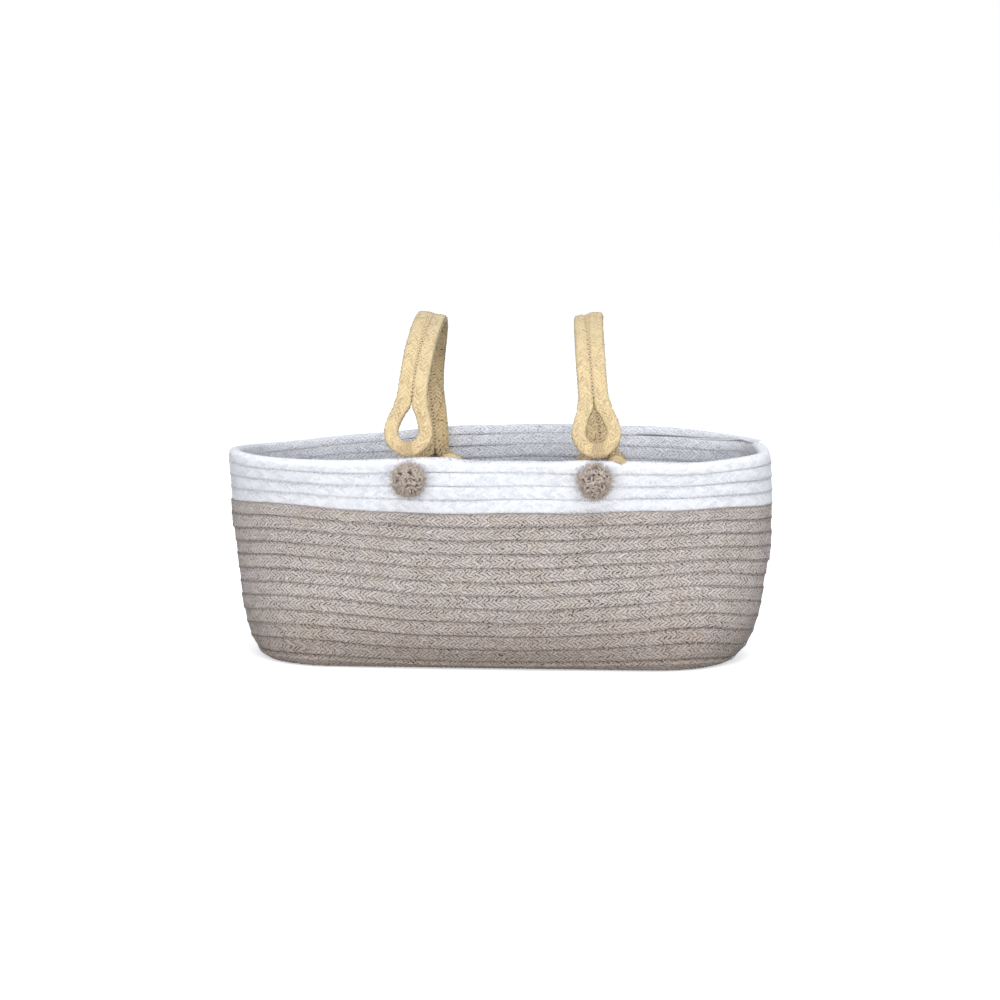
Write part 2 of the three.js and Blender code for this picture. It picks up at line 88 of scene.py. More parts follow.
COLOUR_TURN = BASE_TURNS + BEIGE_COURSES - 1 + 7 / STATIONS
TAPER_TURN = BASE_TURNS + COURSES - 1 + 7 / STATIONS
END_TURN = TAPER_TURN + 3.9 / STATIONS
BUTT_GAP = 0.5
TURN_GAP = 0.12
TIP_SHARE = 0.06
RIM_PRESSED_SHARE = 0.5
RIM_PRESSED_LEFT = (-30, 22)
RIM_PRESSED_RIGHT = (72, -34)
FLOOR_CLEARANCE = 0.75
SAMPLES_PER_TURN = 9600


def mix(a, b, share):
    return a + (b - a) * share


def eased(share):
    share = np.clip(share, 0, 1)
    return share ** 2 * (3 - 2 * share)


def wall_oval(level):
    """Half sizes of the wall's oval at a level, its share of the height, roundness, drop and front lift."""
    share = (level - BASE_TURNS + 0.5) / COURSES
    bulge = 4 * share * (1 - share)
    course = level - BASE_TURNS
    tuck = FOOT_TUCK * np.maximum(1 - course / TUCKED_COURSES, 0) ** 2
    half_length = mix(FOOT_HALF_LENGTH, RIM_HALF_LENGTH, share) - CORD_HALF - tuck
    depth = mix(FOOT_HALF_DEPTH, RIM_HALF_DEPTH, share) - CORD_HALF - tuck
    left, right = half_length + LEFT_END_BULGE * bulge, half_length + RIGHT_END_BULGE * bulge
    drop = FOOT_EDGE_DROP * course / FOOT_EDGE_COURSES * np.exp(1 - course / FOOT_EDGE_COURSES)
    lift = FRONT_CORNER_LIFT * (1 - 2 * share ** 4) * (1 - np.exp(-course / 2))
    return left, right, depth, share, 1 - (1 - share) ** 3, drop, lift


LOW_LEFT, LOW_RIGHT, LOW_DEPTH = wall_oval(BASE_TURNS)[:3]
BASE_PITCH = LOW_DEPTH / BASE_TURNS
BASE_HEIGHT = CORD_HALF - UNDERSIDE


def level_oval(level):
    """The same for any level, where those under the wall are the flat base's own turns."""
    radius = BASE_PITCH * level
    zero = 0 * level
    flat = (LOW_LEFT - LOW_DEPTH + radius, LOW_RIGHT - LOW_DEPTH + radius, radius, zero, zero, zero, zero)
    on_wall = level >= BASE_TURNS
    return [np.where(on_wall, high, low) for high, low in zip(wall_oval(level), flat)]


def oval_point(level, station):
    """A point of the closed oval at one level, at a station counted from the left end over the rear."""
    left_half, right_half, depth, share, rounding, drop, lift = level_oval(level)
    quarter = np.floor(station / QUARTER).astype(int) % 4
    way = (station % QUARTER) / QUARTER
    v = np.where(quarter % 2 == 0, way, 1 - way)
    rear = quarter < 2
    left = (quarter == 0) | (quarter == 3)
    roundness = np.where(rear, REAR_ROUNDNESS, FRONT_ROUNDNESS)
    half = np.where(left, left_half, right_half)
    end_share = END_STATIONS / QUARTER
    end_part = np.minimum(v / end_share, 1)
    side_part = np.maximum((v - end_share) / (1 - end_share), 0)
    straight_x = (half - depth) * (1 - side_part) + depth * np.cos(end_part * math.pi / 2)
    straight_y = depth * np.sin(end_part * math.pi / 2)
    angle = mix(END_ANGLE * end_part, math.pi / 2, side_part)
    round_x = half * np.maximum(np.cos(angle), 0) ** (2 / roundness)
    round_y = depth * np.maximum(np.sin(angle), 0) ** (2 / roundness)
    from_middle = mix(straight_x, round_x, rounding)
    x = from_middle * np.where(left, -1, 1)
    y = mix(straight_y, round_y, rounding)
    place = x / RIM_HALF_LENGTH
    rearward = np.where(rear, y / np.maximum(depth, 1), 0)
    rise = rearward * (REAR_RIM_TILT * place + REAR_RIM_RISE * (1 - place ** 2))
    spread = LOWER_COURSE_SPREAD * share * (1 - share)
    crowding = rearward * REAR_CROWDING * 256 / 27 * share ** 3 * (1 - share)
    corner = np.sin(math.pi * np.clip(from_middle / half, 0, 1) ** FRONT_CORNER_POWER)
    corner = np.where(rear, 0, corner)
    wall_z = WALL_HEIGHT * (share + spread) + share * (rise - RIM_END_DROP * place ** 2) + crowding
    wall_z = wall_z + lift * corner - drop * (1 - 0.8 * corner)
    z = np.where(level < BASE_TURNS, BASE_HEIGHT, wall_z)
    return np.stack([x, np.where(rear, y, -y), z], axis=-1)


def climb_share(turn, station):
    """Each turn climbs to the next level round the right-hand end."""
    rise = np.clip(turn / (BASE_TURNS + COURSES), 0, 1)
    start = mix(QUARTER * 2 - END_STATIONS, QUARTER + 1, rise)
    end = mix(QUARTER * 2 + END_STATIONS, QUARTER * 2 - 1, rise)
    share = np.clip((station - start) / (end - start), 0, 1)
    return mix(share, eased(share), 0.6)


def turn_point(turns, taper=False):
    """The cord's centre at a number of turns from its start, or a turn above or below it."""
    turn = np.floor(turns + 1e-9)
    station = np.maximum((turns - turn) * STATIONS, 0)
    share = climb_share(turn, station)
    if taper:
        share = np.where(turns > TAPER_TURN, share / 2, share)
    lower = oval_point(np.maximum(turn, 0), station)
    upper = oval_point(np.maximum(turn + 1, 0), station)
    point = mix(lower, upper, share[:, None])
    angle = math.pi * (0.5 - share)
    bend = np.stack([
        LOW_RIGHT - LOW_DEPTH + BASE_PITCH / 2 * np.cos(angle),
        BASE_PITCH / 2 * (np.sin(angle) - 1),
        np.full_like(share, BASE_HEIGHT),
    ], axis=-1)
    on_bend = (turn == 0) & (share > 0) & (share < 1)
    return np.where(on_bend[:, None], bend, point)


def unit(vectors):
    return vectors / np.maximum(np.linalg.norm(vectors, axis=-1, keepdims=True), 1e-9)


def path_lengths(points):
    return np.concatenate([[0], np.cumsum(np.linalg.norm(np.diff(points, axis=0), axis=1))])


# The braid on every cord of the basket: cotton strands in twelve rows round it, slanted in turn to one
# side and the other, as a braiding machine lays them. It is real relief, and the material follows it with
# painted shade in its valleys.
STRAND_PITCH = 3.45
STEPS_PER_PITCH = 4
ROWS = 12
LANES = ROWS * 2
STRAND_SLANT = 1.15
ROW_REACH = 0.85


def section(quarter):
    """Shares of a cord's half sizes at each lane, from its outermost point up, round and back."""
    out = np.array([point[0] for point in quarter])
    up = np.array([point[1] for point in quarter])
    half = np.stack([np.append(out, -out[-2::-1]), np.append(up, up[-2::-1])])
    return np.hstack([half, (half * [[1], [-1]])[:, -2:0:-1]])


CORD_OUT, CORD_UP = section([(1, 0), (1, 0.32), (1, 0.64), (0.985, 0.9), (0.78, 1), (0.4, 1), (0, 1)])
RIM_OUT, RIM_UP = section([
    (1, 0), (0.98, 0.3), (0.9, 0.56), (0.74, 0.78), (0.52, 0.92), (0.27, 0.985), (0, 1)])


def even_turns(start, end, step):
    """Turn numbers from start to end whose points lie evenly along the cord, and their distances."""
    fine = np.linspace(start, end, int((end - start) * SAMPLES_PER_TURN))
    lengths = path_lengths(turn_point(fine, taper=True))
    distances = np.linspace(0, lengths[-1], max(int(lengths[-1] / step), 2))
    return np.interp(distances, lengths, fine), distances


def coil_frames(turns):
    """Centre, directions up and outward, and half heights of the cord at each turn number."""
    centre = turn_point(turns, taper=True)
    plain = turn_point(turns)
    above = turn_point(turns + 1)
    below = np.where((turns >= 1)[:, None], turn_point(turns - 1), 2 * plain - above)
    along = unit(turn_point(turns + 0.001, taper=True) - turn_point(turns - 0.001, taper=True))
    up = above - below
    up = unit(up - along * np.sum(up * along, axis=1, keepdims=True))
    outward = np.cross(up, along)
    above_gap = np.linalg.norm(above - plain, axis=1)
    below_gap = np.linalg.norm(plain - below, axis=1)
    first = turns < 1
    up_half = np.where(first, BASE_PITCH, above_gap) / 2
    down_half = np.where(first, BASE_PITCH, below_gap) / 2
    turn = np.floor(turns + 1e-9)
    share = climb_share(turn, (turns - turn) * STATIONS)
    tapered = turns > TAPER_TURN
    up_half = np.where(tapered, above_gap * np.maximum(1 - share, TIP_SHARE) / 2, up_half)
    down_half = np.where(tapered, up_half, down_half)
    return centre, up, outward, up_half - TURN_GAP / 2, down_half - TURN_GAP / 2


def uneven(points):
    """The hand-guided coil is never quite even: a slow drift of whole courses, the same for neighbours."""
    x, y, z = points.T
    rise = 0.45 * np.sin(x / 31 + z / 23 + 1.3) + 0.3 * np.sin(x / 13 - z / 37 + y / 29)
    push = 0.5 * np.sin(x / 47 + z / 9 + 0.4) + 0.35 * np.sin(x / 19 - z / 5.5 + y / 23)
    on_wall = np.clip((z - 12) / 25, 0, 1)
    return rise * on_wall, push * on_wall


def rim_sag(centre):
    """How far the front of the rim's cord is pressed down, between the handles."""
    x, y = centre[:, 0], centre[:, 1]
    left, right = (eased((x - edge) / ease) for edge, ease in (RIM_PRESSED_LEFT, RIM_PRESSED_RIGHT))
    return np.where(y < 0, left * right, 0)


def coil_rings(turns):
    """The cord's outline at each turn number: oval, flat at the seams, and round on top at the rim."""
    centre, up, outward, up_half, down_half = coil_frames(turns)
    rise, push = uneven(centre)
    centre = centre + up * rise[:, None] + outward * push[:, None]
    half = np.where(CORD_UP[None, :] > 0, up_half[:, None], down_half[:, None])
    bare = np.clip((turns - TAPER_TURN + 1) / 0.05, 0, 1)[:, None] * (CORD_UP > 0)
    half = half * (1 - RIM_PRESSED_SHARE * rim_sag(centre)[:, None] * bare)
    sideways, upwards = mix(CORD_OUT, RIM_OUT, bare), mix(CORD_UP, RIM_UP, bare)
    rings = centre[:, None, :] + outward[:, None, :] * (sideways * CORD_HALF)[:, :, None]
    rings = rings + up[:, None, :] * (upwards * half)[:, :, None]
    rings[:, :, 2] = np.maximum(rings[:, :, 2], FLOOR_CLEARANCE)
    return rings


def tube_mesh(name, rings, along, closed=False, pits=None, twist=None):
    """A braided tube through its rings. Its strand map counts pitches along and rows around the cord."""
    count, lanes = rings.shape[:2]
    spans = count if closed else count - 1
    i, j = np.meshgrid(np.arange(spans), np.arange(lanes), indexing="ij")
    i, j = i.ravel(), j.ravel()
    ahead, beside = (i + 1) % count, (j + 1) % lanes
    quads = np.stack([i * lanes + j, ahead * lanes + j, ahead * lanes + beside, i * lanes + beside], axis=1)
    faces = quads.tolist()
    if not closed:
        faces += [list(range(lanes)), list(range(count * lanes - 1, (count - 1) * lanes - 1, -1))]
    mesh = bpy.data.meshes.new(name)
    mesh.from_pydata((rings.reshape(-1, 3) * MM).tolist(), [], faces)
    pitches = along / STRAND_PITCH
    pitch_end = np.append(pitches[1:], pitches[-1] + 1 / STEPS_PER_PITCH)
    u = np.stack([pitches[i], pitch_end[i], pitch_end[i], pitches[i]], axis=1)
    twist = np.zeros(count) if twist is None else twist
    v = np.stack([j, j, j + 1, j + 1], axis=1) / lanes * ROWS
    v = v + np.stack([twist[i], twist[ahead], twist[ahead], twist[i]], axis=1)
    corners = np.zeros((len(mesh.loops), 2), np.float32)
    corners[:len(quads) * 4] = np.stack([u.ravel(), v.ravel()], axis=1)
    strand_map = mesh.uv_layers.new(name="strand_map")
    strand_map.data.foreach_set("uv", corners.ravel())
    strand = np.zeros((count * lanes, 3), np.float32)
    strand[:, 0] = np.repeat(pitches, lanes)
    strand[:, 1] = np.tile(np.arange(lanes) / lanes * ROWS, count) + np.repeat(twist, lanes)
    mesh.attributes.new("strand", "FLOAT_VECTOR", "POINT").data.foreach_set("vector", strand.ravel())
    pit = np.zeros(count * lanes, np.float32) if pits is None else pits.astype(np.float32).ravel()
    mesh.attributes.new("pit", "FLOAT", "POINT").data.foreach_set("value", pit)
    smooth = np.ones(len(mesh.polygons), bool)
    smooth[len(quads):] = False
    mesh.polygons.foreach_set("use_smooth", smooth)
    mesh.update()
    return mesh


def feed(tree, socket, value):
    """Sets an input to a value, or links it to another node's output."""
    if isinstance(value, bpy.types.NodeSocket):
        tree.links.new(value, socket)
    else:
        socket.default_value = value


def new_node(tree, kind, **inputs):
    """A node with its inputs fed. A low line in an input's name stands for a space."""
    node = tree.nodes.new(kind)
    for name, value in inputs.items():
        feed(tree, node.inputs[name.replace("_", " ")], value)
    return node


def maths(tree, operation, *values):
    node = tree.nodes.new("ShaderNodeMath")
    node.operation = operation
    for socket, value in zip(node.inputs, values):
        feed(tree, socket, value)
    return node.outputs[0]


def strand_row(tree, along, around, row):
    """One row's relief at a place, and which of its strands is there."""
    odd = maths(tree, "FLOORED_MODULO", row, 2)
    place = maths(tree, "SUBTRACT", maths(tree, "SUBTRACT", around, row), 0.5)
    side = maths(tree, "MULTIPLY_ADD", odd, -2 * STRAND_SLANT, STRAND_SLANT)
    slant = maths(tree, "MULTIPLY_ADD", side, place, maths(tree, "MULTIPLY", odd, 0.5))
    phase = maths(tree, "ADD", along, slant)
    from_back = maths(tree, "MULTIPLY_ADD", maths(tree, "FRACT", phase), 2, -1)
    across = maths(tree, "SUBTRACT", 1, maths(tree, "MULTIPLY", from_back, from_back))
    from_middle = maths(tree, "DIVIDE", place, ROW_REACH)
    ends = maths(tree, "SUBTRACT", 1, maths(tree, "MULTIPLY", from_middle, from_middle))
    return maths(tree, "MULTIPLY", across, ends), maths(tree, "FLOOR", phase)


def strand_height(tree, along, around):
    """The braid's relief, 0 in its valleys and 1 on the back of a strand, and a number for each strand."""
    row = maths(tree, "FLOOR", around)
    upper_half = maths(tree, "GREATER_THAN", maths(tree, "SUBTRACT", around, row), 0.5)
    beside = maths(tree, "ADD", row, maths(tree, "MULTIPLY_ADD", upper_half, 2, -1))
    own, own_strand = strand_row(tree, along, around, row)
    other, other_strand = strand_row(tree, along, around, beside)
    over = maths(tree, "GREATER_THAN", other, own)
    change = maths(tree, "SUBTRACT", other_strand, own_strand)
    number = maths(tree, "MULTIPLY_ADD", change, over, own_strand)
    top_row = maths(tree, "MULTIPLY_ADD", maths(tree, "SUBTRACT", beside, row), over, row)
    number = maths(tree, "MULTIPLY_ADD", maths(tree, "FLOORED_MODULO", top_row, ROWS), 0.37, number)
    return maths(tree, "MAXIMUM", own, other), number


def node_tree(name, inputs):
    tree = bpy.data.node_groups.new(name, "GeometryNodeTree")
    tree.interface.new_socket("Geometry", in_out="INPUT", socket_type="NodeSocketGeometry")
    for socket_name, socket_type in inputs:
        tree.interface.new_socket(socket_name, in_out="INPUT", socket_type=socket_type)
    tree.interface.new_socket("Geometry", in_out="OUTPUT", socket_type="NodeSocketGeometry")
    start = tree.nodes.new("NodeGroupInput")
    return tree, start


def end_tree(tree, start, geometry):
    """Every tree ends in real geometry with its material."""
    realize = new_node(tree, "GeometryNodeRealizeInstances", Geometry=geometry)
    material = new_node(tree, "GeometryNodeSetMaterial", Geometry=realize.outputs["Geometry"],
                        Material=start.outputs["Material"])
    new_node(tree, "NodeGroupOutput", Geometry=material.outputs["Geometry"])


def new_object(name, data):
    obj = bpy.data.objects.new(name, data)
    bpy.context.scene.collection.objects.link(obj)
    return obj


def made_by(tree, name, mesh, **values):
    """An object whose plain mesh is what the tree makes of the given mesh."""
    obj = new_object(name, mesh)
    modifier = obj.modifiers.new(tree.name, "NODES")
    modifier.node_group = tree
    for item in tree.interface.items_tree:
        if item.in_out == "INPUT" and item.name in values:
            modifier[item.identifier] = values[item.name]
    bpy.context.view_layer.update()
    graph = bpy.context.evaluated_depsgraph_get()
    made = bpy.data.meshes.new_from_object(obj.evaluated_get(graph), depsgraph=graph)
    obj.modifiers.clear()
    obj.data = made
    made.name = name
    return obj


braid_tree, braid_in = node_tree("braid", [
    ("Relief", "NodeSocketFloat"), ("Material", "NodeSocketMaterial")])
strand = new_node(braid_tree, "GeometryNodeInputNamedAttribute", Name="strand")
strand.data_type = "FLOAT_VECTOR"
parts = new_node(braid_tree, "ShaderNodeSeparateXYZ", Vector=strand.outputs["Attribute"])
pit = new_node(braid_tree, "GeometryNodeInputNamedAttribute", Name="pit")
pit.data_type = "FLOAT"
relief, _ = strand_height(braid_tree, parts.outputs[0], parts.outputs[1])
sunk = maths(braid_tree, "MULTIPLY_ADD", pit.outputs["Attribute"], 1.2, 0.5)
relief = maths(braid_tree, "SUBTRACT", relief, sunk)
relief = maths(braid_tree, "MULTIPLY", relief, braid_in.outputs["Relief"])
normal = braid_tree.nodes.new("GeometryNodeInputNormal")
offset = braid_tree.nodes.new("ShaderNodeVectorMath")
offset.operation = "SCALE"
feed(braid_tree, offset.inputs[0], normal.outputs[0])
feed(braid_tree, offset.inputs["Scale"], relief)
place = new_node(braid_tree, "GeometryNodeSetPosition",
                 Geometry=braid_in.outputs["Geometry"], Offset=offset.outputs[0])
end_tree(braid_tree, braid_in, place.outputs["Geometry"])


def linear(red, green, blue):
    """A colour given as it looks on screen, 0 to 255."""
    return tuple(((c / 255 + 0.055) / 1.055) ** 2.4 for c in (red, green, blue)) + (1,)


def colour_mix(tree, share, low, high, blend="MIX"):
    node = tree.nodes.new("ShaderNodeMix")
    node.data_type = "RGBA"
    node.blend_type = blend
    for number, value in ((0, share), (6, low), (7, high)):
        feed(tree, node.inputs[number], value)
    return node.outputs[2]


def spotted_noise(tree, vector, scale, detail=2.0):
    return new_node(tree, "ShaderNodeTexNoise", Vector=vector, Scale=scale, Detail=detail).outputs["Fac"]


def spread(tree, value, low, high):
    node = new_node(tree, "ShaderNodeMapRange", Value=value, From_Min=low, From_Max=high)
    return node.outputs["Result"]


def matt_material(name, roughness, specular, sheen=0.0):
    """A material without gloss, with its tree and shader, ready for its colour."""
    material = bpy.data.materials.new(name)
    material.use_nodes = True
    shader = material.node_tree.nodes["Principled BSDF"]
    shader.inputs["Roughness"].default_value = roughness
    shader.inputs["Specular IOR Level"].default_value = specular
    shader.inputs["Sheen Weight"].default_value = sheen
    return material, material.node_tree, shader


def braided(name, strand_colour, painted_valley_shade, painted_pit_shade, tint_colour, bump=0.9, loose_share=0.3,
            lit_side_row=None, smooth=0.72, grain=0.5, foot=None, glow=0.0):
    """Matt braided cotton: fibres on each strand, painted shade in the valleys, and dark gaps and needle
    holes painted as shade.
    A row number for the side facing the light is the middle of a side given a softer bump and painted
    light, without the valley and pit shade; grain is how uneven the fibres' shade is, foot is painted shade
    that darkens the colour down towards the floor, and glow is the share of the light that goes through the
    fibres."""
    material, tree, shader = matt_material(name, 0.92, 0.15, 0.12)
    shader.inputs["Subsurface Weight"].default_value = glow
    shader.inputs["Subsurface Radius"].default_value = (1, 1, 1)
    shader.inputs["Subsurface Scale"].default_value = 2.5 * MM
    uv = tree.nodes.new("ShaderNodeUVMap")
    uv.uv_map = "strand_map"
    parts = new_node(tree, "ShaderNodeSeparateXYZ", Vector=uv.outputs[0])
    sway = maths(tree, "SUBTRACT", spotted_noise(tree, uv.outputs[0], 0.6, 1.0), 0.5)
    wander = maths(tree, "SUBTRACT", spotted_noise(tree, uv.outputs[0], 1.7, 1.0), 0.5)
    along = maths(tree, "MULTIPLY_ADD", sway, 1.4, parts.outputs[0])
    around = maths(tree, "MULTIPLY_ADD", wander, 0.9, parts.outputs[1])
    height, number = strand_height(tree, along, around)
    place = tree.nodes.new("ShaderNodeTexCoord").outputs["Object"]
    fibres = spotted_noise(tree, uv.outputs[0], 5.5, 3.0)
    patches = spotted_noise(tree, place, 55, 2.0)
    tight = spread(tree, spotted_noise(tree, uv.outputs[0], 0.45, 2.0), 0.38, 0.62)
    # Painted shade: the colour darkens from the backs of the strands down into the braid's valleys.
    shade = spread(tree, height, 0.05, 0.66)
    colour = colour_mix(tree, shade, painted_valley_shade, strand_colour)
    # The colour keeps to the strand colour, without the painted valley shade, in tight patches at random
    # and, as painted light, on the side whose row number is given, where the painted pit shade is also
    # weaker.
    flat = maths(tree, "MULTIPLY", tight, 0.4)
    side, pit_shade_share = None, 1
    if lit_side_row is not None:
        row_turn = 2 * math.pi / ROWS
        turn = maths(tree, "MULTIPLY_ADD", parts.outputs[1], row_turn, -row_turn * lit_side_row)
        side = spread(tree, maths(tree, "COSINE", turn), -0.3, 0.7)
        pit_shade_share = maths(tree, "MULTIPLY_ADD", side, -0.6, 1)
        flat = maths(tree, "MAXIMUM", flat, maths(tree, "MULTIPLY", side, smooth))
    colour = colour_mix(tree, flat, colour, strand_colour)
    colour = colour_mix(tree, spread(tree, patches, 0.35, 0.75), colour, tint_colour, "MULTIPLY")
    # Painted shade: the gaps beside a share of the strands, taken as loose, are dark in the pit colour,
    # less so on the side given painted light.
    each = tree.nodes.new("ShaderNodeTexWhiteNoise")
    each.noise_dimensions = "1D"
    tree.links.new(number, each.inputs["W"])
    loose = maths(tree, "GREATER_THAN", each.outputs["Value"], 1 - loose_share)
    loose_gap_shade = maths(tree, "MULTIPLY", loose, spread(tree, height, 0.5, 0.12))
    colour = colour_mix(tree, maths(tree, "MULTIPLY", loose_gap_shade, pit_shade_share), colour, painted_pit_shade)
    level = maths(tree, "MULTIPLY_ADD", each.outputs["Value"], -0.16, 1.06)
    level = maths(tree, "MULTIPLY", level, maths(tree, "MULTIPLY_ADD", fibres, grain, 1.01 - grain / 2))
    levels = new_node(tree, "ShaderNodeCombineColor", Red=level, Green=level, Blue=level)
    colour = colour_mix(tree, 1.0, colour, levels.outputs[0], "MULTIPLY")
    # Painted shade in the needle holes, less on the side given painted light.
    hole = tree.nodes.new("ShaderNodeAttribute")
    hole.attribute_name = "pit"
    hole_shade = maths(tree, "MULTIPLY", spread(tree, hole.outputs["Fac"], 0.15, 0.9), pit_shade_share)
    colour = colour_mix(tree, hole_shade, colour, painted_pit_shade)
    # Painted shade: the colour darkens towards the floor.
    if foot is not None:
        height_up = new_node(tree, "ShaderNodeSeparateXYZ", Vector=place)
        low = spread(tree, height_up.outputs[2], 0.06, 0.005)
        colour = colour_mix(tree, low, colour, foot, "MULTIPLY")
    tree.links.new(colour, shader.inputs["Base Color"])
    strength = bump
    if side is not None:
        strength = maths(tree, "MULTIPLY_ADD", side, (0.8 - 1.6 * smooth) * bump, bump)
    surface = maths(tree, "MULTIPLY_ADD", fibres, 0.5, height)
    bumps = new_node(tree, "ShaderNodeBump", Strength=strength, Distance=0.7 * MM, Height=surface)
    tree.links.new(bumps.outputs[0], shader.inputs["Normal"])
    return material


# The beige cord of the base and the lower wall. Sewing thread joins each course to the one below in a
# zigzag on both faces, and the needle's holes are small pits sunk in the cord, painted dark as shade.
# Its valley and pit colours are painted shade, and foot is painted shade down towards the floor.
beige_cotton = braided(
    "beige_cotton", linear(214, 204, 199), linear(134, 121, 112), linear(62, 50, 43),
    (0.95, 0.92, 0.86, 1), bump=1.2, loose_share=0.36, foot=(0.71, 0.66, 0.62, 1))
STITCH = 3.85
UPPER_LANES = {"outside": 3, "inside": 9}
LOWER_LANES = {"outside": 21, "inside": 15}


def seam_turns(start, end):
    """Where the needle goes in along the seam above the cord from start to end."""
    return even_turns(start, end, STITCH)[0]


def cord_twist(distances, drift):
    """The braid rolls a little as the cord is laid, in rows, and may drift on round."""
    return distances * drift + 1.1 * np.sin(distances / 71) + 0.7 * np.sin(distances / 29 + 1)


def cord_pieces(name, start, end, material, seams, relief, drift=0.0, rings_at_most=3800):
    """A cord of the coil in lengths of up to some thousand rings, with a pit at each needle hole."""
    turns, distances = even_turns(start, end, STRAND_PITCH / STEPS_PER_PITCH)
    pits = np.zeros((len(turns), LANES))
    for seam in seams:
        for lanes, shift, first in ((UPPER_LANES, 0, 0), (LOWER_LANES, 1, 1)):
            needle = seam[first::2] + shift
            needle = needle[(needle > start) & (needle < end)]
            rings = np.rint(np.interp(needle, turns, np.arange(len(turns)))).astype(int)
            for lane in lanes.values():
                pits[rings, lane] = 1
    pieces = []
    count = math.ceil(len(turns) / rings_at_most)
    cuts = np.linspace(0, len(turns) - 1, count + 1).astype(int)
    for number, (low, high) in enumerate(zip(cuts[:-1], cuts[1:]), 1):
        part = slice(low, high + 1)
        mesh = tube_mesh(f"{name}_{number}", coil_rings(turns[part]), distances[part], pits=pits[part],
                         twist=cord_twist(distances[part], drift))
        piece = made_by(braid_tree, f"{name}_{number}", mesh, Relief=relief * MM, Material=material)
        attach(piece, "basket")
        pieces.append(piece)
    return pieces


beige_seam = seam_turns(START_TURN, COLOUR_TURN)
white_seam = seam_turns(COLOUR_TURN, TAPER_TURN - 1)
for piece in cord_pieces("beige_coil", START_TURN, COLOUR_TURN, beige_cotton,
                         [beige_seam[beige_seam < COLOUR_TURN - 1]], 0.45, drift=1 / 260):
    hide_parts("beige_cord")

# The white cord of the upper wall, of the same braided cotton. It is butted to the beige one, given a
# softer bump and painted light on its outer side, and tapered off at the rear right of the rim.
# Its bluish valley and pit colours are painted shade.
white_cotton = braided(
    "white_cotton", linear(241, 242, 247), linear(178, 182, 200), linear(158, 163, 184),
    (0.97, 0.975, 0.985, 1), lit_side_row=0, smooth=0.95, glow=0.85)
nudge = 1e-3
butt = turn_point(np.array([COLOUR_TURN, COLOUR_TURN + nudge]))
gap_turns = BUTT_GAP / np.linalg.norm(butt[1] - butt[0]) * nudge
for piece in cord_pieces("white_coil", COLOUR_TURN + gap_turns, END_TURN, white_cotton,
                         [beige_seam[beige_seam > COLOUR_TURN - 1], white_seam], 0.3):
    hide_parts("white_cord")

# The sewing thread, thin twisted cotton in the colour of its cord. It goes out of one cord, over the
# groove between two courses and into the next, on the outside and on the inside.
THREAD_RADIUS = 0.27
THREAD_DEPTH = 0.5
THREAD_LIFT = 0.35
THREAD_BEND = 0.18
THREAD_SPLIT_TURN = 11


def thread_material(name, colour):
    material, tree, shader = matt_material(name, 0.8, 0.25)
    place = tree.nodes.new("ShaderNodeTexCoord").outputs["Object"]
    twist = spotted_noise(tree, place, 1500, 1.0)
    darker = tuple(c * 0.75 for c in colour[:3]) + (1,)
    twisted = colour_mix(tree, spread(tree, twist, 0.35, 0.65), darker, colour)
    tree.links.new(twisted, shader.inputs["Base Color"])
    return material


def round_tube(tree, curve, radius, sides):
    """A smooth tube along a curve, closed at its ends."""
    circle = new_node(tree, "GeometryNodeCurvePrimitiveCircle", Radius=radius, Resolution=sides)
    tube = new_node(tree, "GeometryNodeCurveToMesh", Curve=curve, Profile_Curve=circle.outputs["Curve"],
                    Fill_Caps=True)
    return new_node(tree, "GeometryNodeSetShadeSmooth", Geometry=tube.outputs["Mesh"]).outputs["Geometry"]


thread_tree, thread_in = node_tree("thread", [
    ("Radius", "NodeSocketFloat"), ("Sides", "NodeSocketInt"), ("Material", "NodeSocketMaterial")])
to_curve = new_node(thread_tree, "GeometryNodeMeshToCurve", Mesh=thread_in.outputs["Geometry"])
end_tree(thread_tree, thread_in, round_tube(
    thread_tree, to_curve.outputs["Curve"], thread_in.outputs["Radius"], thread_in.outputs["Sides"]))


def line_mesh(name, lines):
    """A mesh of bare lines, each through its own points in millimetres."""
    points, edges = [], []
    for line in lines:
        start = len(points)
        points += (np.asarray(line) * MM).tolist()
        edges += [(start + k, start + k + 1) for k in range(len(line) - 1)]
    mesh = bpy.data.meshes.new(name)
    mesh.from_pydata(points, edges, [])
    return mesh


def surface_points(turns, lane):
    """Points on the cord's surface at one lane, and the directions out of it."""
    centre, up, outward, up_half, down_half = coil_frames(turns)
    rise, push = uneven(centre)
    half = np.where(CORD_UP[lane] > 0, up_half, down_half)
    offset = outward * (CORD_OUT[lane] * CORD_HALF) + up * (CORD_UP[lane] * half)[:, None]
    point = centre + up * rise[:, None] + outward * push[:, None] + offset
    return point, outward * np.sign(CORD_OUT[lane])


def zigzag(turns, face):
    """One thread along a seam: out of one cord, over the groove and into the next."""
    low, low_out = surface_points(turns[0::2], UPPER_LANES[face])
    high, high_out = surface_points(turns[1::2] + 1, LOWER_LANES[face])
    line = []
    for k in range(min(len(low), len(high))):
        line.append(low[k] - low_out[k] * THREAD_DEPTH)
        line.append(mix(low[k], high[k], THREAD_BEND) + low_out[k] * THREAD_LIFT)
        line.append(mix(low[k], high[k], 1 - THREAD_BEND) + high_out[k] * THREAD_LIFT)
        line.append(high[k] - high_out[k] * THREAD_DEPTH)
        if k + 1 < len(low):
            line.append(mix(high[k], low[k + 1], THREAD_BEND) + high_out[k] * THREAD_LIFT)
            line.append(mix(high[k], low[k + 1], 1 - THREAD_BEND) + low_out[k + 1] * THREAD_LIFT)
    line = np.array(line)
    line[:, 2] = np.maximum(line[:, 2], FLOOR_CLEARANCE)
    return line


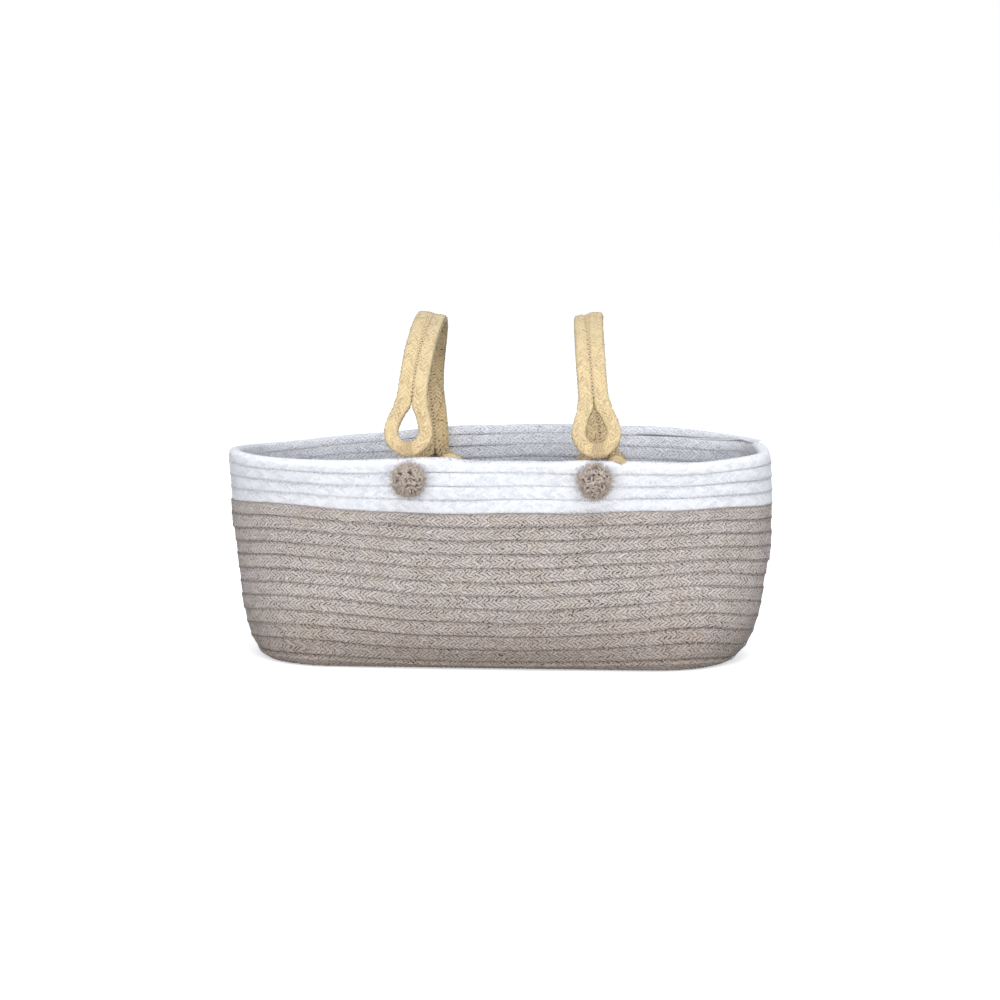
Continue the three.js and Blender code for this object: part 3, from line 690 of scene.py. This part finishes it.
beige_thread = thread_material("beige_thread", linear(196, 186, 179))
white_thread = thread_material("white_thread", linear(247, 247, 251))
for name, seam, slot, material in (
    ("beige_thread_lower", beige_seam[beige_seam < THREAD_SPLIT_TURN], "beige_cotton", beige_thread),
    ("beige_thread_upper", beige_seam[beige_seam >= THREAD_SPLIT_TURN], "beige_cotton", beige_thread),
    ("white_thread", white_seam, "white_cotton", white_thread),
):
    lines = line_mesh(name, [zigzag(seam, "outside"), zigzag(seam, "inside")])
    piece = made_by(thread_tree, name, lines, Radius=THREAD_RADIUS * MM, Sides=4, Material=material)
    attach(piece, "basket")

# Handles. Each is one ring of braided jute-coloured cord, flattened, with its two sides sewn together
# along the middle into a strap. That leaves a teardrop loop at each end: the front one stands on the
# rim and the rear one lies flat against the inside of the rear wall.
HANDLE_WIDTH = 10
HANDLE_THICKNESS = 7
HANDLE_SEAM = 0.5
CREST_HEIGHT = 95.3
ARCH_ROUNDNESS = 1.65
FRONT_LEAN = math.radians(15.5)
FRONT_RADIUS = 17.3
FRONT_NECK = 28
FRONT_UPRIGHT = 38.3
REAR_RADIUS = 22
REAR_NECK = 23
REAR_DEPTH = 56
RIM_GAP = 0.5
WALL_GAP = 2.4
LOOP_ARC = math.radians(100)
NECK_FULLNESS = 0.45
STRAND_OFFSET = (HANDLE_WIDTH + HANDLE_SEAM) / 2
SEAM_PITCH = 2.6
SEAM_REACH = 2.4
STITCH_LIFT = 0.45
SEAM_THREAD_RADIUS = 0.75
LOOP_THREAD_RADIUS = 0.38
LOOSE_FIBRE_SHARE = 0.028
TAIL_HALF_WIDTH = 3.2
TAIL_HALF_THICKNESS = 2.7
TAIL_START = (9, -7)
TAIL_END = (-2.5, -1.4)
TAIL_RISE = 4.4
TOP_COURSE = COURSES - 1
HANDLES = (
    {"side": "left", "front_x": -57.8, "rear_x": -54, "lean": 7.5, "bow": 7.5, "roll": math.radians(14),
     "tail": (22, 39.5)},
    {"side": "right", "front_x": 78, "rear_x": 74.5, "lean": -9, "bow": 3, "roll": math.radians(-14),
     "tail": (6, 18)},
)
HANDLE_OUT, HANDLE_UP = section([
    (1, 0), (1, 0.36), (0.96, 0.7), (0.85, 0.9), (0.64, 0.98), (0.34, 1), (0, 1)])


def course_at(course, x, rear):
    """The middle of a course of the front or rear wall, at a place along the basket."""
    stations = np.arange(13.0) + (0 if rear else 12)
    points = oval_point(np.full(13, float(BASE_TURNS + course)), stations)
    points = points if rear else points[::-1]
    return np.array([x, np.interp(x, points[:, 0], points[:, 1]), np.interp(x, points[:, 0], points[:, 2])])


def smooth_curve(points, per_span=24):
    """An even, centripetal curve through its points."""
    points = np.asarray(points, float)
    padded = np.vstack([2 * points[0] - points[1], points, 2 * points[-1] - points[-2]])
    t = np.linspace(0, 1, per_span, endpoint=False)[:, None]
    spans = []
    for p0, p1, p2, p3 in zip(padded, padded[1:], padded[2:], padded[3:]):
        d0, d1, d2 = (max(np.linalg.norm(b - a) ** 0.5, 1e-6) for a, b in ((p0, p1), (p1, p2), (p2, p3)))
        leave = ((p1 - p0) / d0 - (p2 - p0) / (d0 + d1) + (p2 - p1) / d1) * d1
        arrive = ((p2 - p1) / d1 - (p3 - p1) / (d1 + d2) + (p3 - p2) / d2) * d1
        spans.append((2 * t ** 3 - 3 * t ** 2 + 1) * p1 + (t ** 3 - 2 * t ** 2 + t) * leave
                     + (3 * t ** 2 - 2 * t ** 3) * p2 + (t ** 3 - t ** 2) * arrive)
    return np.vstack(spans + [points[-1:]])


def handle_spine(front_x, rear_x, lean, bow, **_):
    """The strap's middle line from the front rim over its arch and down inside the rear wall."""
    front_rim = course_at(TOP_COURSE, front_x, False)
    rim_top = front_rim[2] + np.linalg.norm(front_rim - course_at(TOP_COURSE - 1, front_x, False)) / 2
    rear_top = course_at(TOP_COURSE, rear_x, True)
    rear_low = course_at(round(TOP_COURSE - REAR_DEPTH / WALL_HEIGHT * COURSES), rear_x, True)
    down = (rear_low - rear_top) * (0, 1, 1)
    down = down / np.linalg.norm(down)
    inset = CORD_HALF + WALL_GAP + HANDLE_THICKNESS / 2
    rear_start = rear_top + np.array([0, down[2], -down[1]]) * inset
    leaning = np.array([0, math.sin(FRONT_LEAN), math.cos(FRONT_LEAN)])
    drop = HANDLE_THICKNESS / 2 * math.sin(FRONT_LEAN)
    bottom = np.array([0, front_rim[1], rim_top + RIM_GAP + drop])
    foot = bottom + leaning * FRONT_UPRIGHT
    middle, half_span = (foot[1] + rear_start[1]) / 2, (rear_start[1] - foot[1]) / 2
    arch = rim_top + CREST_HEIGHT - foot[2]
    angle = np.linspace(0, math.pi, 29)
    cosine, sine = np.cos(angle), np.maximum(np.sin(angle), 0)
    y = middle - half_span * np.sign(cosine) * np.abs(cosine) ** (2 / ARCH_ROUNDNESS)
    z = foot[2] + arch * sine ** (2 / ARCH_ROUNDNESS)
    points = [bottom, bottom + leaning * FRONT_UPRIGHT / 2]
    points += [np.array([0, a, b]) for a, b in zip(y, z)]
    rear_end = rear_start + down * REAR_DEPTH
    points += [rear_start, (rear_start + rear_end) / 2, rear_end]
    points = np.array(points)
    across = (points[:, 1] - front_rim[1]) / (rear_start[1] - front_rim[1])
    raised = np.clip((points[:, 2] - rim_top) / CREST_HEIGHT, 0, 1)
    bowed = np.where(points[:, 1] > middle, bow * np.sin(math.pi * raised), 0)
    points[:, 0] = mix(front_x, rear_x, np.clip(across, 0, 1)) + lean * raised - bowed
    return smooth_curve(points), front_rim, rim_top


def loop_outline(radius, neck):
    """Half of a teardrop in the strap's plane, from its far point to where the two sides meet."""
    inner = radius - HANDLE_WIDTH / 2
    angle = np.linspace(0, LOOP_ARC, 24)
    arc = np.stack([radius - inner * np.cos(angle), inner * np.sin(angle)], axis=1)
    split = radius + neck
    reach = (split - arc[-1, 0]) * NECK_FULLNESS
    p0, p3 = arc[-1], np.array([split, STRAND_OFFSET])
    p1 = p0 + reach * np.array([math.sin(LOOP_ARC), math.cos(LOOP_ARC)])
    p2 = np.array([split - reach, STRAND_OFFSET])
    t = np.linspace(0, 1, 24)[1:, None]
    curve = p0 * (1 - t) ** 3 + 3 * p1 * t * (1 - t) ** 2 + 3 * p2 * t ** 2 * (1 - t) + p3 * t ** 3
    return np.vstack([arc, curve])


class Strap:
    """The ribbon that a handle's ring lies in: u runs along it, w across it and t through it."""

    def __init__(self, spine, roll):
        self.spine = spine
        self.roll = roll
        self.lengths = path_lengths(spine)
        self.tangents = unit(np.gradient(spine, axis=0))
        self.length = self.lengths[-1]

    def frame(self, u, rolled=1.0):
        point, along = (np.stack([np.interp(u, self.lengths, values[:, k]) for k in range(3)], axis=-1)
                        for values in (self.spine, self.tangents))
        along = unit(along)
        level = unit(np.array([1.0, 0, 0]) - along * along[..., :1])
        through = np.cross(along, level)
        raised = np.clip((point[..., 2:] - self.spine[0, 2]) / CREST_HEIGHT, 0, 1)
        angle = self.roll * rolled * raised ** 2
        across = level * np.cos(angle) + through * np.sin(angle)
        return point, along, across, np.cross(along, across)

    def place(self, u, w, t):
        point, along, across, through = self.frame(np.asarray(u, float))
        return point + across * np.asarray(w, float)[..., None] + through * np.asarray(t, float)[..., None]


def ring_outline(strap):
    """The ring's cord in the strap's plane: a teardrop at each end and two straight sides."""
    front = loop_outline(FRONT_RADIUS, FRONT_NECK)
    rear = loop_outline(REAR_RADIUS, REAR_NECK)
    rear[:, 0] = strap.length - rear[:, 0]
    straight = np.linspace(front[-1, 0], rear[-1, 0], 200)[1:-1]
    half = np.vstack([front, np.stack([straight, np.full(198, STRAND_OFFSET)], axis=1), rear[::-1]])
    return np.vstack([half, (half * (1, -1))[-2:0:-1]])


def even_ring(strap, outline):
    """The outline again, in whole steps of the braid along the real cord."""
    closed = np.vstack([outline, outline[:1]])
    lengths = path_lengths(strap.place(closed[:, 0], closed[:, 1], 0 * closed[:, 0]))
    pitches = round(lengths[-1] / STRAND_PITCH)
    wanted = np.arange(pitches * STEPS_PER_PITCH) / (pitches * STEPS_PER_PITCH) * lengths[-1]
    return np.stack([np.interp(wanted, lengths, closed[:, k]) for k in (0, 1)], axis=1)


def handle_rings(strap):
    """The cord's outline along the ring, pressed flat against its own other side at the seam."""
    ring = even_ring(strap, ring_outline(strap))
    heading = unit(np.roll(ring, -1, axis=0) - np.roll(ring, 1, axis=0))
    point, along, across, _ = strap.frame(ring[:, 0])
    centre = point + across * ring[:, 1:]
    across, through = strap.frame(ring[:, 0], 0.25)[2:]
    widthways = across * heading[:, :1] - along * heading[:, 1:]
    apart = np.maximum(np.abs(ring[:, 1]) - STRAND_OFFSET, 0)
    past_loops = (ring[:, 0] > FRONT_RADIUS) & (ring[:, 0] < strap.length - REAR_RADIUS)
    squeezed = np.where(past_loops, np.clip((SEAM_REACH - apart) / 2, 0, 1), 0)
    width = HANDLE_WIDTH / 2 + squeezed * (apart + HANDLE_SEAM * 0.48)
    wave = 0.25 * np.sin(np.arange(len(ring)) / 17) + 0.2 * np.sin(np.arange(len(ring)) / 7.3 + 1)
    centre = centre + through * wave[:, None]
    rings = centre[:, None] + widthways[:, None] * (HANDLE_OUT[None] * width[:, None])[..., None]
    return rings + through[:, None] * (HANDLE_UP * HANDLE_THICKNESS / 2)[None, :, None]


def seam_line(strap, face):
    """Thread sewn in a zigzag down the middle of the strap."""
    start, end = FRONT_RADIUS + FRONT_NECK - 3, strap.length - REAR_RADIUS - REAR_NECK + 3
    steps = int((end - start) / SEAM_PITCH)
    u = np.linspace(start, end, steps * 3 + 1)
    side = np.where((np.arange(len(u)) // 3) % 2 == 0, 1, -1)
    offset = np.array([-1.5, -0.7, 0.7])[np.arange(len(u)) % 3] * side
    lift = np.array([-0.9, 0.25, 0.25])[np.arange(len(u)) % 3]
    surface = HANDLE_THICKNESS / 2 - 0.6
    return strap.place(u, offset, face * (surface + lift))


def stitch_line(base, over, beside, half_over, half_beside, feet):
    """One stitch over a cord: up one side, across and down the other."""
    high, wide = half_over + STITCH_LIFT, half_beside + STITCH_LIFT
    bend, under = 2.0, half_beside - 1.4
    corners = [
        (-feet[0], under), (1.8 - feet[0], wide), (high - bend, wide), (high - bend / 4, wide - bend),
        (high, 0), (high - bend / 4, bend - wide), (high - bend, -wide), (1.8 - feet[1], -wide),
        (-feet[1], -under)]
    return smooth_curve([base + over * a + beside * b for a, b in corners], per_span=4)


def loop_stitches(pivot, down, side, radius, normal, spacing, over_edge, feet):
    """Three stitches of doubled thread round the far end of a loop."""
    lines = []
    halves = (HANDLE_WIDTH / 2, HANDLE_THICKNESS / 2)
    for number in (-1, 0, 1):
        for doubled in (-3.2, 3.2):
            angle = math.radians(number * spacing + doubled)
            radial = down * math.cos(angle) + side * math.sin(angle)
            base = pivot + radial * (radius - HANDLE_WIDTH / 2)
            if over_edge:
                lines.append(stitch_line(base, -radial, normal, *halves, feet))
            else:
                lines.append(stitch_line(base, normal, radial, *halves[::-1], feet))
    return lines


def tail_mesh(name, front_rim, rim_top, front_x, reach):
    """The ring's cord end comes up inside the wall by the front loop and lies over the rim, cut short."""
    start = np.array([front_x + reach[0], front_rim[1] + TAIL_START[0], rim_top + TAIL_START[1]])
    end = np.array([front_x + reach[1], front_rim[1] + TAIL_END[0], rim_top + TAIL_END[1]])
    middle = mix(start, end, 0.55) + (0, 0, TAIL_RISE)
    path = smooth_curve([start, middle, end], 40)
    lengths = path_lengths(path)
    wanted = np.arange(0, lengths[-1], STRAND_PITCH / STEPS_PER_PITCH)
    centre = np.stack([np.interp(wanted, lengths, path[:, k]) for k in range(3)], axis=1)
    along = unit(np.gradient(centre, axis=0))
    upright = np.array([0, 0.25, 1.0])
    up = unit(upright - along * (along @ upright)[:, None])
    out = np.cross(up, along)
    left = (lengths[-1] - wanted) / lengths[-1]
    size = (0.7 + 0.3 * np.clip(left * 2, 0, 1)) * np.where(wanted > wanted[-2], 0.75, 1)
    thick, wide = HANDLE_UP * TAIL_HALF_THICKNESS, HANDLE_OUT * TAIL_HALF_WIDTH
    rings = centre[:, None] + up[:, None] * thick[None, :, None] * size[:, None, None]
    rings = rings + out[:, None] * wide[None, :, None] * size[:, None, None]
    return tube_mesh(name, rings, wanted)


# The jute's valley and pit colours are painted shade, and its outer side, row 9, gets painted light and a
# softer bump.
jute_cord = braided(
    "jute_cord", linear(222, 202, 162), linear(194, 156, 100), linear(112, 78, 42),
    (0.97, 0.94, 0.88, 1), lit_side_row=9, smooth=0.65, grain=1.0, glow=0.35)
jute_thread = thread_material("jute_thread", linear(222, 200, 164))

for handle in HANDLES:
    side = handle["side"]
    spine, front_rim, rim_top = handle_spine(**handle)
    strap = Strap(spine, handle["roll"])
    rings = handle_rings(strap)
    rng = np.random.default_rng(len(side))
    # Pits sunk at random where fibres are loose; the material paints shade in them.
    pits = (rng.random(rings.shape[:2]) < LOOSE_FIBRE_SHARE) * rng.uniform(0.5, 1.2, rings.shape[:2])
    steps = np.arange(len(rings)) * STRAND_PITCH / STEPS_PER_PITCH
    mesh = tube_mesh(f"handle_cord_{side}", rings, steps, True, pits)
    cord = made_by(braid_tree, f"handle_cord_{side}", mesh, Relief=0.5 * MM, Material=jute_cord)
    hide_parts(f"handle_{side}")
    lines = line_mesh("seam", [seam_line(strap, 1), seam_line(strap, -1)])
    seam = made_by(thread_tree, f"handle_seam_{side}", lines,
                   Radius=SEAM_THREAD_RADIUS * MM, Sides=5, Material=jute_thread)

    front_pivot = strap.place([FRONT_RADIUS], [0], [0])[0]
    rear_pivot = strap.place([strap.length - REAR_RADIUS], [0], [0])[0]
    hinge = unit(rear_pivot - front_pivot)
    away = unit(np.cross([1.0, 0, 0], hinge))
    away = away * np.sign(away[2])
    for piece in (cord, seam):
        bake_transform(piece)

    rear_foot = HANDLE_THICKNESS / 2 + WALL_GAP + 1
    for place, u, pivot, way, radius, spacing, feet in (
        ("front", 0.0, front_pivot, -1, FRONT_RADIUS, 15, (5.7, 5.9)),
        ("rear", strap.length, rear_pivot, 1, REAR_RADIUS, 20, (rear_foot, rear_foot)),
    ):
        _, along, across, through = (values[0] for values in strap.frame(np.array([u])))
        inward = through * -way * np.sign(through[1])
        lines = loop_stitches(pivot, along * way, across, radius, inward, spacing, place == "front", feet)
        stitches = made_by(thread_tree, f"{place}_stitches_{side}", line_mesh("stitches", lines),
                           Radius=LOOP_THREAD_RADIUS * MM, Sides=6, Material=jute_thread)
        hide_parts(*(f"{place}_stitch_{side}_{k}" for k in (1, 2, 3)))
        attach(stitches, "basket")

    mesh = tail_mesh(f"handle_tail_{side}", front_rim, rim_top, handle["front_x"], handle["tail"])
    tail = made_by(braid_tree, f"handle_tail_{side}", mesh, Relief=0.4 * MM, Material=jute_cord)
    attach(tail, "basket")

# Pom-poms of wool yarn on the white band, one under each handle. Each is cut yarn wound and bound in
# the middle, and its binding goes through the wall to a knot on the inside.
POMPOM_SHARE = 0.93
CORE_SHARE = 0.74
FUZZ_SHARE = 0.78
YARN_LOOP = 5.4 * MM
YARN_DENSITY = 400000.0
YARN_TILT = 0.55
YARN_TURN = 3.1
HAIR = 5.2 * MM
HAIR_DENSITY = 950000.0
BINDING_RADIUS = 0.75
wool_yarn, wool, wool_shader = matt_material("wool_yarn", 1.0, 0.1, 0.3)
wool_place = wool.nodes.new("ShaderNodeTexCoord").outputs["Object"]
wool_spots = spread(wool, spotted_noise(wool, wool_place, 420, 2.0), 0.3, 0.7)
# Painted shade: the yarn darkens to a deep brown where a loop lies deep towards the ball's core.
wool_depth = wool.nodes.new("ShaderNodeAttribute")
wool_depth.attribute_name = "depth"
wool_shade = colour_mix(wool, wool_spots, linear(180, 165, 153), linear(202, 188, 176))
wool_depth_shade = spread(wool, wool_depth.outputs["Fac"], 0.0, 0.7)
wool_colour = colour_mix(wool, wool_depth_shade, linear(88, 74, 64), wool_shade)
wool.links.new(wool_colour, wool_shader.inputs["Base Color"])

pompom_tree, pompom_in = node_tree("pompom", [
    ("Density", "NodeSocketFloat"), ("Start", "NodeSocketVector"), ("Middle", "NodeSocketVector"),
    ("End", "NodeSocketVector"), ("Lift", "NodeSocketFloat"), ("Yarn", "NodeSocketFloat"),
    ("Sides", "NodeSocketInt"), ("Seed", "NodeSocketInt"), ("Material", "NodeSocketMaterial")])
given = pompom_in.outputs
scatter = new_node(pompom_tree, "GeometryNodeDistributePointsOnFaces",
                   Mesh=given["Geometry"], Density=given["Density"], Seed=given["Seed"])
bezier = new_node(pompom_tree, "GeometryNodeCurveQuadraticBezier", Resolution=5,
                  Start=given["Start"], Middle=given["Middle"], End=given["End"])
way = pompom_tree.nodes.new("GeometryNodeSplineParameter").outputs["Factor"]
from_middle = maths(pompom_tree, "ABSOLUTE", maths(pompom_tree, "MULTIPLY_ADD", way, 2, -1))
keep_depth = new_node(pompom_tree, "GeometryNodeStoreNamedAttribute", Name="depth",
                      Geometry=bezier.outputs["Curve"],
                      Value=maths(pompom_tree, "SUBTRACT", given["Lift"], from_middle))
strands = round_tube(pompom_tree, keep_depth.outputs["Geometry"], given["Yarn"], given["Sides"])
turn_random, size_random = (pompom_tree.nodes.new("FunctionNodeRandomValue") for _ in range(2))
turn_random.data_type = "FLOAT_VECTOR"
for socket, value in (
    (turn_random.inputs[0], (-YARN_TILT, -YARN_TILT, -YARN_TURN)),
    (turn_random.inputs[1], (YARN_TILT, YARN_TILT, YARN_TURN)),
    (turn_random.inputs["Seed"], given["Seed"]),
    (size_random.inputs[2], 0.75),
    (size_random.inputs[3], 1.12),
    (size_random.inputs["Seed"], given["Seed"]),
):
    feed(pompom_tree, socket, value)
to_rotation = new_node(pompom_tree, "FunctionNodeEulerToRotation", Euler=turn_random.outputs[0])
rotate = new_node(pompom_tree, "FunctionNodeRotateRotation",
                  Rotation=scatter.outputs["Rotation"], Rotate_By=to_rotation.outputs[0])
rotate.rotation_space = "LOCAL"
yarn_place = new_node(pompom_tree, "GeometryNodeInstanceOnPoints", Points=scatter.outputs["Points"],
                      Instance=strands, Rotation=rotate.outputs[0], Scale=size_random.outputs[1])
end_tree(pompom_tree, pompom_in, yarn_place.outputs["Instances"])


def ball_mesh(name, centre, radius, squash=1.0):
    """A closed, even ball of faces about a point."""
    rows, columns = 12, 18
    points = [(0, 0, -1)]
    for row in range(1, rows):
        polar = math.pi * row / rows
        wide = math.sin(polar)
        for column in range(columns):
            turn = 2 * math.pi * column / columns
            points.append((wide * math.cos(turn), wide * math.sin(turn), -math.cos(polar)))
    points.append((0, 0, 1))
    last = len(points) - 1
    faces = [(0, 1 + (c + 1) % columns, 1 + c) for c in range(columns)]
    for row in range(rows - 2):
        a = 1 + row * columns
        faces += [(a + c, a + (c + 1) % columns, a + columns + (c + 1) % columns, a + columns + c)
                  for c in range(columns)]
    a = last - columns
    faces += [(a + c, a + (c + 1) % columns, last) for c in range(columns)]
    mesh = bpy.data.meshes.new(name)
    place = np.array(points) * (radius, radius * 0.92, radius * squash) + centre
    mesh.from_pydata((place * MM).tolist(), [], faces)
    mesh.polygons.foreach_set("use_smooth", np.ones(len(faces), bool))
    return mesh


def joined(name, objects):
    with bpy.context.temp_override(active_object=objects[0], selected_editable_objects=objects):
        bpy.ops.object.join()
    objects[0].name = name
    objects[0].data.name = name
    return objects[0]


for handle, seed, tall in zip(HANDLES, (3, 11), (1.04, 1.12)):
    side = handle["side"]
    low, high = (np.array(corner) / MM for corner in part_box(f"pompom_{side}"))
    centre = (low + high) / 2
    radius = (high - low).max() / 2 * POMPOM_SHARE
    core = new_object(f"pompom_core_{side}", ball_mesh("core", centre, radius * CORE_SHARE, tall))
    core.data.materials.append(wool_yarn)
    yarn = made_by(
        pompom_tree, f"pompom_yarn_{side}", ball_mesh("yarn", centre, radius * CORE_SHARE, tall),
        Density=YARN_DENSITY, Start=(-0.45 * YARN_LOOP, 0, 0),
        Middle=(0, 0.5 * YARN_LOOP, 0.95 * YARN_LOOP), End=(0.45 * YARN_LOOP, 0, 0),
        Lift=1.0, Yarn=0.72 * MM, Sides=6, Seed=seed, Material=wool_yarn)
    fuzz = made_by(
        pompom_tree, f"pompom_fuzz_{side}", ball_mesh("fuzz", centre, radius * FUZZ_SHARE, tall),
        Density=HAIR_DENSITY, Start=(0, 0, 0), Middle=(0, 0, 0.6 * HAIR), End=(0.45 * HAIR, 0, HAIR),
        Lift=2.0, Yarn=0.08 * MM, Sides=3, Seed=seed + 1, Material=wool_yarn)
    ball = joined(f"pompom_ball_{side}", [yarn, core, fuzz])
    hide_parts(f"pompom_{side}")
    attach(ball, "basket")

    low, high = (np.array(corner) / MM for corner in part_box(f"pompom_tie_{side}"))
    middle = (low + high) / 2
    wall_side = np.array([middle[0], low[1] - 1.5, middle[2]])
    knot_side = np.array([middle[0], high[1] - 2.5, middle[2]])
    turns = np.linspace(0, 2 * math.pi * 2.6, 60)
    wrap = np.stack([1.5 * np.cos(turns), 0.9 * np.sin(turns * 1.5), 1.5 * np.sin(turns)], axis=1)
    ends = [smooth_curve([knot_side, knot_side + (s * 2, 2.2, -2), knot_side + (s * 3.4, 1.6, -7)], 8)
            for s in (-1, 1)]
    through_wall = np.linspace(wall_side, knot_side, 6)
    lines = line_mesh("tie", [through_wall, knot_side + wrap] + ends)
    tie = made_by(thread_tree, f"pompom_binding_{side}", lines,
                  Radius=BINDING_RADIUS * MM, Sides=7, Material=wool_yarn)
    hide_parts(f"pompom_tie_{side}")
    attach(tie, "basket")

# The studio, which is no part of the basket: a white floor that keeps a soft shadow, even light all
# round, a wide low lamp in front, a weak one high in front and to the right, and the camera where the
# photograph was taken from.
FLOOR_HALF = 30.0
floor_mesh = bpy.data.meshes.new("floor")
floor_corners = [(x * FLOOR_HALF, y * FLOOR_HALF, 0) for x, y in ((-1, -1), (1, -1), (1, 1), (-1, 1))]
floor_mesh.from_pydata(floor_corners, [], [(0, 1, 2, 3)])
floor = new_object("floor", floor_mesh)


def seen_part(tree):
    """1 where the camera sees it, straight or in a gloss or through glass, and 0 for its light."""
    ray = tree.nodes.new("ShaderNodeLightPath")
    mirrored = maths(tree, "MAXIMUM", ray.outputs["Is Glossy Ray"], ray.outputs["Is Transmission Ray"])
    return maths(tree, "MAXIMUM", ray.outputs["Is Camera Ray"], mirrored)


floor_paint, paint, paint_shader = matt_material("floor_paint", 1.0, 0.0)
seen = seen_part(paint)
floor_colour = colour_mix(paint, seen, (0.3, 0.3, 0.3, 1), (1.0, 1.0, 1.0, 1))
paint.links.new(floor_colour, paint_shader.inputs["Base Color"])
paint_shader.inputs["Emission Color"].default_value = (1, 1, 1, 1)
paint.links.new(maths(paint, "MULTIPLY", seen, 0.5), paint_shader.inputs["Emission Strength"])
floor_mesh.materials.append(floor_paint)

world = bpy.data.worlds.new("studio")
bpy.context.scene.world = world
world.use_nodes = True
sky = world.node_tree
background = sky.nodes["Background"]
sky_colour = colour_mix(sky, seen_part(sky), (0.585, 0.61, 0.655, 1), (1.0, 1.0, 1.0, 1))
sky.links.new(sky_colour, background.inputs["Color"])
background.inputs["Strength"].default_value = 1.0


def lamp(name, place, target, width, height, power):
    data = bpy.data.lights.new(name, "AREA")
    data.shape = "RECTANGLE"
    data.size = width
    data.size_y = height
    data.energy = power
    obj = new_object(name, data)
    obj.location = place
    obj.rotation_euler = (Vector(target) - Vector(place)).to_track_quat("-Z", "Y").to_euler()
    obj.visible_camera = False


lamp("front_lamp", (0.06, -1.95, 0.21), (0, 0, 0.15), 2.0, 0.28, 24.5)
lamp("high_lamp", (0.25, -1.15, 1.8), (0, 0, 0.1), 1.2, 1.2, 16)

camera_data = bpy.data.cameras.new("camera")
camera_data.lens = 81.53
camera_data.sensor_width = 36
camera = new_object("camera", camera_data)
camera.location = (0.1278, -1.6653, 0.3147)
camera.rotation_euler = Vector((-0.0747, 0.9903, -0.1176)).to_track_quat("-Z", "Y").to_euler()
bpy.context.scene.camera = camera
bpy.context.scene.view_settings.view_transform = "Standard"
